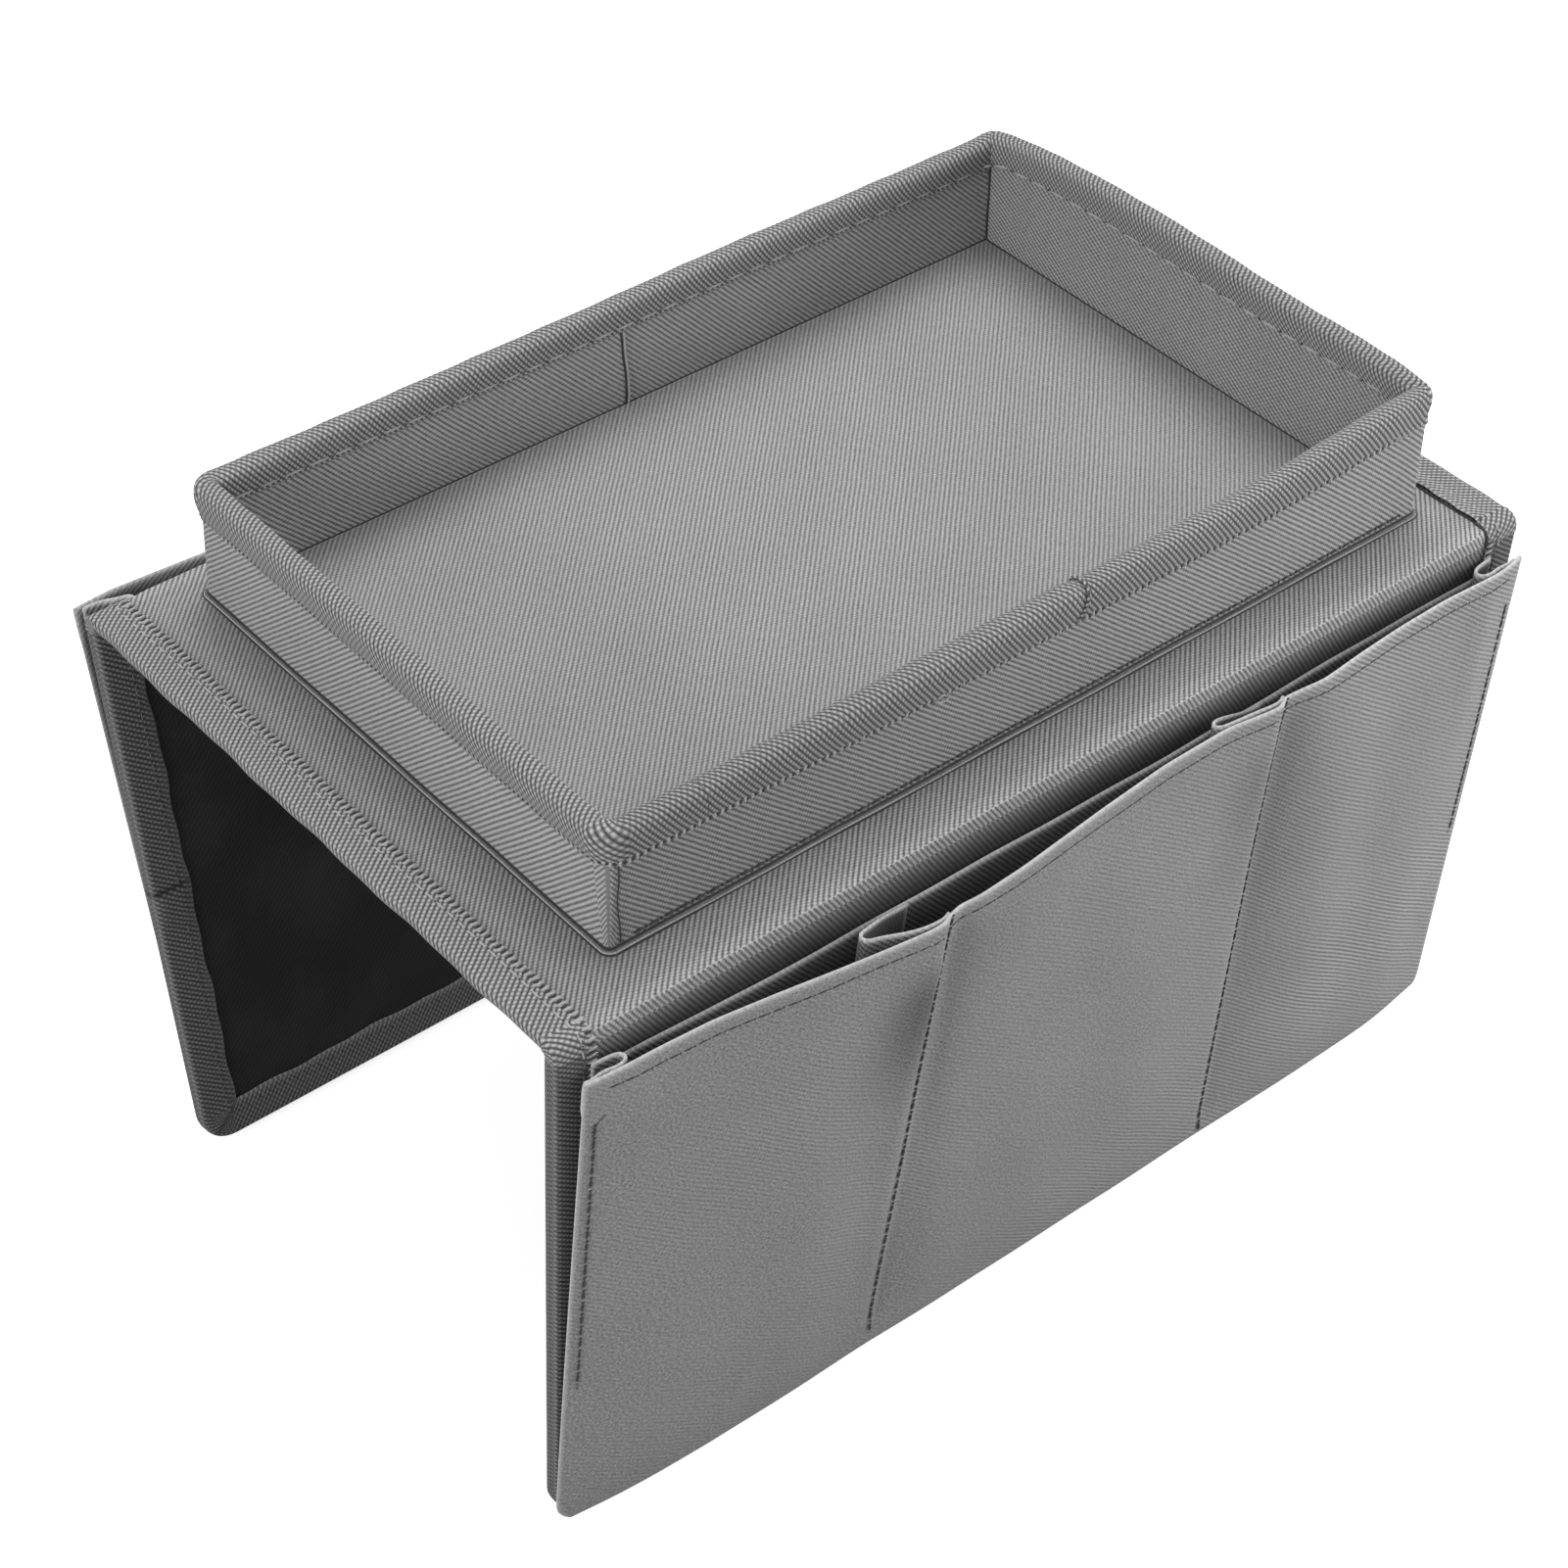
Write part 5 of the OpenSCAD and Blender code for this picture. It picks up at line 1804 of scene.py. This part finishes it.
    def back(self) -> bpy.types.Object:
        """Makes the pocket back, whose folded top edge stands a little off the flap."""
        p = PATTERN
        x = steps(-p.back_half, p.back_half, 5.0)[None, :]
        share = np.concatenate([np.linspace(0, 0.9, 24), np.linspace(0.92, 0.99, 6), [0.996, 1.0]])[:, None]
        top = p.back_top + 1.6 * rise((-100 - x) / 40) + 0.15 * np.sin(x / 6.3)
        foot = p.foot + p.tape_w
        z = foot + (top - foot) * share
        y = -p.fold_r - p.cloth / 2 - self.back_lean(x, share)
        thick = p.cloth + 0.5 * rise((share - 0.93) / 0.03) + 0.0 * x
        mid = self.side.from_flap(np.stack(np.broadcast_arrays(x, y, z), -1))
        # Painted shade below the pocket back's top edge, and a rubbed edge with painted highlight along it.
        dark = 0.65 * rise((1 - share) * 160 / 2.5)
        shell = ClothShell(mid, rib_map(x, z, -50.0), thick, rub_and_highlight=0.5 * rise((share - 0.992) / 0.004) + 0.0 * x)
        shell.shade = (dark, dark)
        piece = dress(shell.build(self.side.node("pocket_back_cloth")), Finish.COVER, self.side.node("pocket_back"))
        return lay_sheet(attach(piece, self.side.body("flap")), shell, "hung", self.side.node("flap_cloth"))

    def hem(self) -> bpy.types.Object:
        """Makes the strip that joins the bank's lower edge to the flap."""
        p = PATTERN
        x = steps(-p.front_half + 6 + self.end_draw, p.front_half - 6, 6.0)[None, :]
        across = np.linspace(0, 1, 7)[:, None]
        far = self.foot_out(x) - 1.1
        y = -(p.fold_r + p.tape + 0.1) * (1 - across) - far * across
        z = p.foot + 0.9 + 0.7 * np.sin(across * math.pi) + 0.0 * x
        mid = self.side.from_flap(np.stack(np.broadcast_arrays(x, y, z), -1))
        shell = ClothShell(mid, rib_map(x, y, -33.0))
        piece = dress(shell.build(self.side.node("bank_hem")), Finish.COVER, self.side.node("pocket_bottom_hem"))
        return lay_sheet(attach(piece, self.side.body("flap")), shell, "folded", self.side.node("flap_tape"))

    def pleat(self, label: str, back: float, fold: float, front: float, top: float, depth: float) -> bpy.types.Object:
        """Makes one Z pleat between the pocket back and the pocket front.

        Args:
            label: Name of the node and of the piece.
            back: X of the end sewn to the back.
            fold: X of the round fold.
            front: X of the end sewn to the front, at the mouth.
            top: Height of the pleat's top edge.
            depth: Distance of the back end from the fold axis.

        Returns:
            The pleat.
        """
        p = PATTERN
        share = np.concatenate([np.linspace(0, 0.95, 24), [0.97, 0.985, 0.993, 0.997, 1.0]])
        height = p.pleat_foot + (top - p.pleat_foot) * share
        level = (height - p.foot) / (p.mouth - p.foot)
        seam = min(self.seams, key=lambda s: abs(s[0] - front)) if abs(front) < 140 else None
        bow = 1.0 if front > fold else -1.0
        rows, middles, gaps = [], [], []
        for k, up in enumerate(level):
            move = 0.0 if seam is None else self.seam_x(seam, up) - seam[0]

            def inner(x: float) -> float:
                """Distance of the pocket front's inner face from the fold axis."""
                return float(self.reach(np.array(x + move), np.array(up))) - 1.2

            near = depth + (float(self.back_lean(np.array(back), np.array(up))) if seam is not None else 0.0)
            gap = max(inner(fold) - near, 0.9)
            middle, tip = near + gap * 0.5, min(2.3, gap * 0.42)
            middles.append(middle)
            gaps.append(min(gap, 5.5))
            knee = fold * 0.45 + front * 0.55
            points = np.array(
                [
                    [back, near],
                    [back * 0.6 + fold * 0.4, near + gap * 0.06],
                    [fold + bow * 3.2, middle - tip],
                    [fold + bow * 0.6, middle - tip * 0.75],
                    [fold - bow * 0.5, middle],
                    [fold + bow * 0.6, middle + tip * 0.75],
                    [fold + bow * 3.2, middle + tip],
                    [knee, max(inner(knee) - 0.9, middle + tip * 0.5)],
                    [front - bow * 2.2, inner(front - bow * 2.2)],
                    [front, inner(front)],
                ]
            )
            rows.append(resample(points + [move, 0.0], 34))
        line = np.stack(rows)
        drop = (0.0 if seam is None else top - p.back_top - 0.2) * rise(1 - np.linspace(0, 1, 34) / 0.5)
        z = height[:, None] - drop[None, :] * share[:, None] ** 6
        mid = self.side.from_flap(np.stack([line[..., 0], -line[..., 1], z], -1))
        at = walked(line[-1])
        # Painted shade below the pleat's top edge, and a rubbed edge with painted highlight along it.
        dark = (0.65 * rise((1 - share) * (top - p.pleat_foot) / 2.2))[:, None]
        top_rub_and_highlight = 0.7 * rise((share - 0.993) / 0.005)[:, None] + 0.0 * line[..., 0]
        shell = ClothShell(mid, rib_map(at[None, :], height[:, None], -40.0), 0.85, rub_and_highlight=top_rub_and_highlight, shade=(dark, dark))
        piece = dress(shell.build(self.side.node(label + "_pleat")), Finish.COVER, self.side.node(label))
        tilt, centre = np.polyfit(height + 80.0, middles, 1, w=0.3 + share)
        half = max(0.42 * float(np.interp(-80.0, height, gaps)) - 0.5, 0.4)
        slope = np.array([0.0 if seam is not None else 0.1 * np.sign(fold), -1.0, -tilt])
        step = (half if seam is not None else min(half, 0.5)) * slope / (slope @ slope)
        across = self.side.from_flap(np.array([[fold, -centre, -80.0]] * 2) + np.stack([-step, step])) * MM
        self.side.body("flap")
        self.side.body("pocket")
        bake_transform(piece)
        return lay_sheet(piece, shell, "folded", self.side.node("pocket_back_cloth"), self.side.node("pocket_cloth"))

    def face_point(self, x: np.ndarray, share: np.ndarray, proud: float = 0.3) -> np.ndarray:
        """Points on the pocket front's outer face."""
        x, share = np.broadcast_arrays(np.asarray(x, float), np.asarray(share, float))
        out = self.reach(x, share) + proud
        return self.side.from_flap(np.stack([x + self.slant(x, share), -out, self.height(x, share)], -1))

    def stitching(self) -> None:
        """Sews the hem, the divider seams, the side seams and the bar tacks."""
        p = PATTERN
        lean = self.side.lean
        out = np.array([0.0, -math.cos(lean) * self.side.turn, -math.sin(lean)])
        marks = [-p.front_half + 7, *(s[0] for s in self.seams), p.front_half - 6]
        hem_runs = []
        level = 1 - 4.2 / 173
        for low, high in zip(marks[:-1], marks[1:]):
            x = np.linspace(low + 1.5, high - 1.5, 40)
            hem_runs.append(Run(self.face_point(x, level, 0.34), out))
        parts = [self.sewing.sew("hem_row", hem_runs, Stitch.SUNK, Finish.SHADE, 12)]
        seam_runs = []
        for seam in self.seams:
            share = np.linspace(seam[2] / 173, 1 - 1.2 / 173, 60)
            seam_runs.append(Run(self.face_point(self.seam_x(seam, share), share, 0.62), out))
        parts.append(self.sewing.sew("divider_rows", seam_runs, Stitch.SEAM, Finish.SHADE, 13))
        sides = []
        for end, low in ((-1, 0.36), (1, 0.42)):
            share = np.linspace(low, 0.9, 50)
            sides.append(Run(self.face_point(np.full(50, end * (p.front_half - 3.4)), share, 0.5), out))
        parts.append(self.sewing.sew("side_rows", sides, Stitch.SEAM, Finish.SHADE, 14))
        tacks = []
        for x, low, high in ((-158.9, 0.865, 0.905), (158.7, 0.87, 0.905), (-158.5, 0.335, 0.362), (158.6, 0.4, 0.42)):
            share = np.linspace(low, high, 8)
            tacks.append(Run(self.face_point(np.full(8, x), share, 0.3), out))
        slope = np.linspace(0, 1, 6)
        tacks.append(Run(self.face_point(-158.9 + 2.5 * slope, 0.907 + 0.015 * slope, 0.3), out))
        parts.append(self.sewing.sew("bar_tacks", tacks, Stitch.TACK, Finish.SEAM, 15))
        piece = dress(joined(self.side.node("pocket_stitching"), parts), Finish.SHADE)
        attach(piece, self.side.body("pocket"))

    def build(self) -> None:
        """Makes every piece of the bank."""
        p = PATTERN
        self.front()
        self.back()
        self.hem()
        near = p.fold_r + p.cloth + 0.45
        for label, seam in zip(("left_divider", "right_divider"), self.seams):
            self.pleat(label, seam[0] - 2.5, seam[0] - self.fold_depth, seam[0] + 0.2, p.mouth + 0.1, near)
        ends = zip(("left_end_gusset", "right_end_gusset"), (-1.0, 1.0), self.end_top)
        for label, end, top in ends:
            self.pleat(label, end * 154.5, end * 147.0, end * 159.6, top, p.fold_r + p.tape + 0.45)
        self.stitching()


@dataclass
class Studio:
    """The camera, the floor and the soft lamps.

    Attributes:
        eye: The camera's place, in metres.
        forward: The way that it looks.
        up: Its upright.
        lens: Focal length for a 36 mm sensor.
    """

    eye: tuple[float, float, float] = (-0.50188, -0.58365, 0.60292)
    forward: tuple[float, float, float] = (0.48345, 0.57347, -0.66137)
    up: tuple[float, float, float] = (0.41204, 0.51752, 0.74993)
    lens: float = 83.14

    def camera(self) -> None:
        """Places the camera as the photograph was taken."""
        data = bpy.data.cameras.new("photo_camera")
        data.lens = self.lens
        data.sensor_width = 36.0
        data.clip_start = 0.05
        data.clip_end = 20.0
        eye = bpy.data.objects.new("photo_camera", data)
        back = -Vector(self.forward).normalized()
        right = Vector(self.up).cross(back).normalized()
        up = back.cross(right)
        eye.matrix_world = Matrix.Translation(self.eye) @ Matrix((right, up, back)).transposed().to_4x4()
        bpy.context.scene.collection.objects.link(eye)
        bpy.context.scene.camera = eye

    def floor(self) -> None:
        """Makes the pale floor under the saddle."""
        mesh = bpy.data.meshes.new("studio_floor")
        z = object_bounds()[0].z - 0.0004
        mesh.from_pydata([(-6, -6, z), (6, -6, z), (6, 6, z), (-6, 6, z)], [], [(0, 1, 2, 3)])
        plane = bpy.data.objects.new("studio_floor", mesh)
        bpy.context.scene.collection.objects.link(plane)
        n = Nodes("studio_floor_paint")
        n.feed(n.shader.inputs["Roughness"], 0.95)
        seen = n.tree.nodes.new("ShaderNodeLightPath").outputs["Is Camera Ray"]
        n.feed(n.shader.inputs["Base Color"], n.mix(seen, (0.42, 0.42, 0.42, 1.0), (0.8, 0.8, 0.8, 1.0)))
        n.feed(n.shader.inputs["Emission Color"], (1.0, 1.0, 1.0, 1.0))
        n.feed(n.shader.inputs["Emission Strength"], n.math("MULTIPLY", seen, 0.74))
        mesh.materials.append(n.material)
        plane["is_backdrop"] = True

    def lamps(self) -> None:
        """Hangs the soft lamps and sets the pale surroundings."""
        for name, place, power, size in (
            ("key_lamp", (0.72, 0.55, 2.25), 47.0, 1.7),
            ("left_lamp", (-2.1, -0.35, 0.65), 23.0, 0.8),
            ("right_lamp", (0.86, -0.54, 0.13), 6.2, 0.5),
        ):
            data = bpy.data.lights.new(name, "AREA")
            data.energy, data.size = power, size
            lamp = bpy.data.objects.new(name, data)
            lamp.location = place
            lamp.rotation_euler = (-Vector(place)).to_track_quat("-Z", "Y").to_euler()
            bpy.context.scene.collection.objects.link(lamp)
        world = bpy.data.worlds.new("pale_room")
        world.use_nodes = True
        tree = world.node_tree
        shade = tree.nodes["Background"]
        shade.inputs["Color"].default_value = (1.0, 1.0, 1.0, 1.0)
        seen = tree.nodes.new("ShaderNodeLightPath").outputs["Is Camera Ray"]
        strength = tree.nodes.new("ShaderNodeMath")
        strength.operation = "MULTIPLY_ADD"
        strength.inputs[1].default_value = 0.62
        strength.inputs[2].default_value = 0.38
        tree.links.new(seen, strength.inputs[0])
        tree.links.new(strength.outputs[0], shade.inputs["Strength"])
        bpy.context.scene.world = world
        bpy.context.scene.view_settings.view_transform = "Standard"

    def build(self) -> None:
        """Makes the whole studio."""
        self.camera()
        self.floor()
        self.lamps()


def board_finish() -> None:
    """Gives the boards inside the panels their finish."""
    for name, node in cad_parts.items():
        if name.endswith("_board"):
            node.data.materials.clear()
            node.data.materials.append(Finish.BOARD.material())
            LOG.info("%s: board finish", name)


def write_sizes() -> None:
    """Updates the view layer.
    """
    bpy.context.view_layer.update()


def main() -> None:
    """Builds the tray's pieces in order, then the studio."""
    logging.basicConfig(level=logging.INFO, format="%(name)s: %(message)s")
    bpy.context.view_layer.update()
    sewing = StitchTree()
    board_finish()
    TopPanel(sewing).build()
    Tray(sewing).build()
    for side in Side:
        Fold(side, sewing).build()
        Flap(side, sewing).build()
    PocketBank(Side.FRONT, sewing).build()
    PocketBank(
        Side.REAR,
        sewing,
        mouth_knots=(
            (-162, 11.4), (-130, 12.0), (-95, 12.6), (-62, 13.6), (-55.5, 12.6), (-48, 13.2), (0, 12.6), (40, 12.8),
            (60, 13.6), (67.5, 12.6), (74, 13.6), (110, 15.4), (139, 17.2), (150, 17.8), (162, 16.4),
        ),
        belly=1.6,
        end_draw=0.0,
        foot_knots=((-162, 7.6), (-150, 8.5), (0, 8.9), (130, 8.9), (150, 8.6), (162, 7.6)),
        mouth_rise=((-162, 0.0), (20, 0.0), (110, 4.0), (162, 4.6)),
        end_top=(-5.6, -0.6),
    ).build()
    write_sizes()
    Studio().build()


if __name__ == "__main__":
    main()
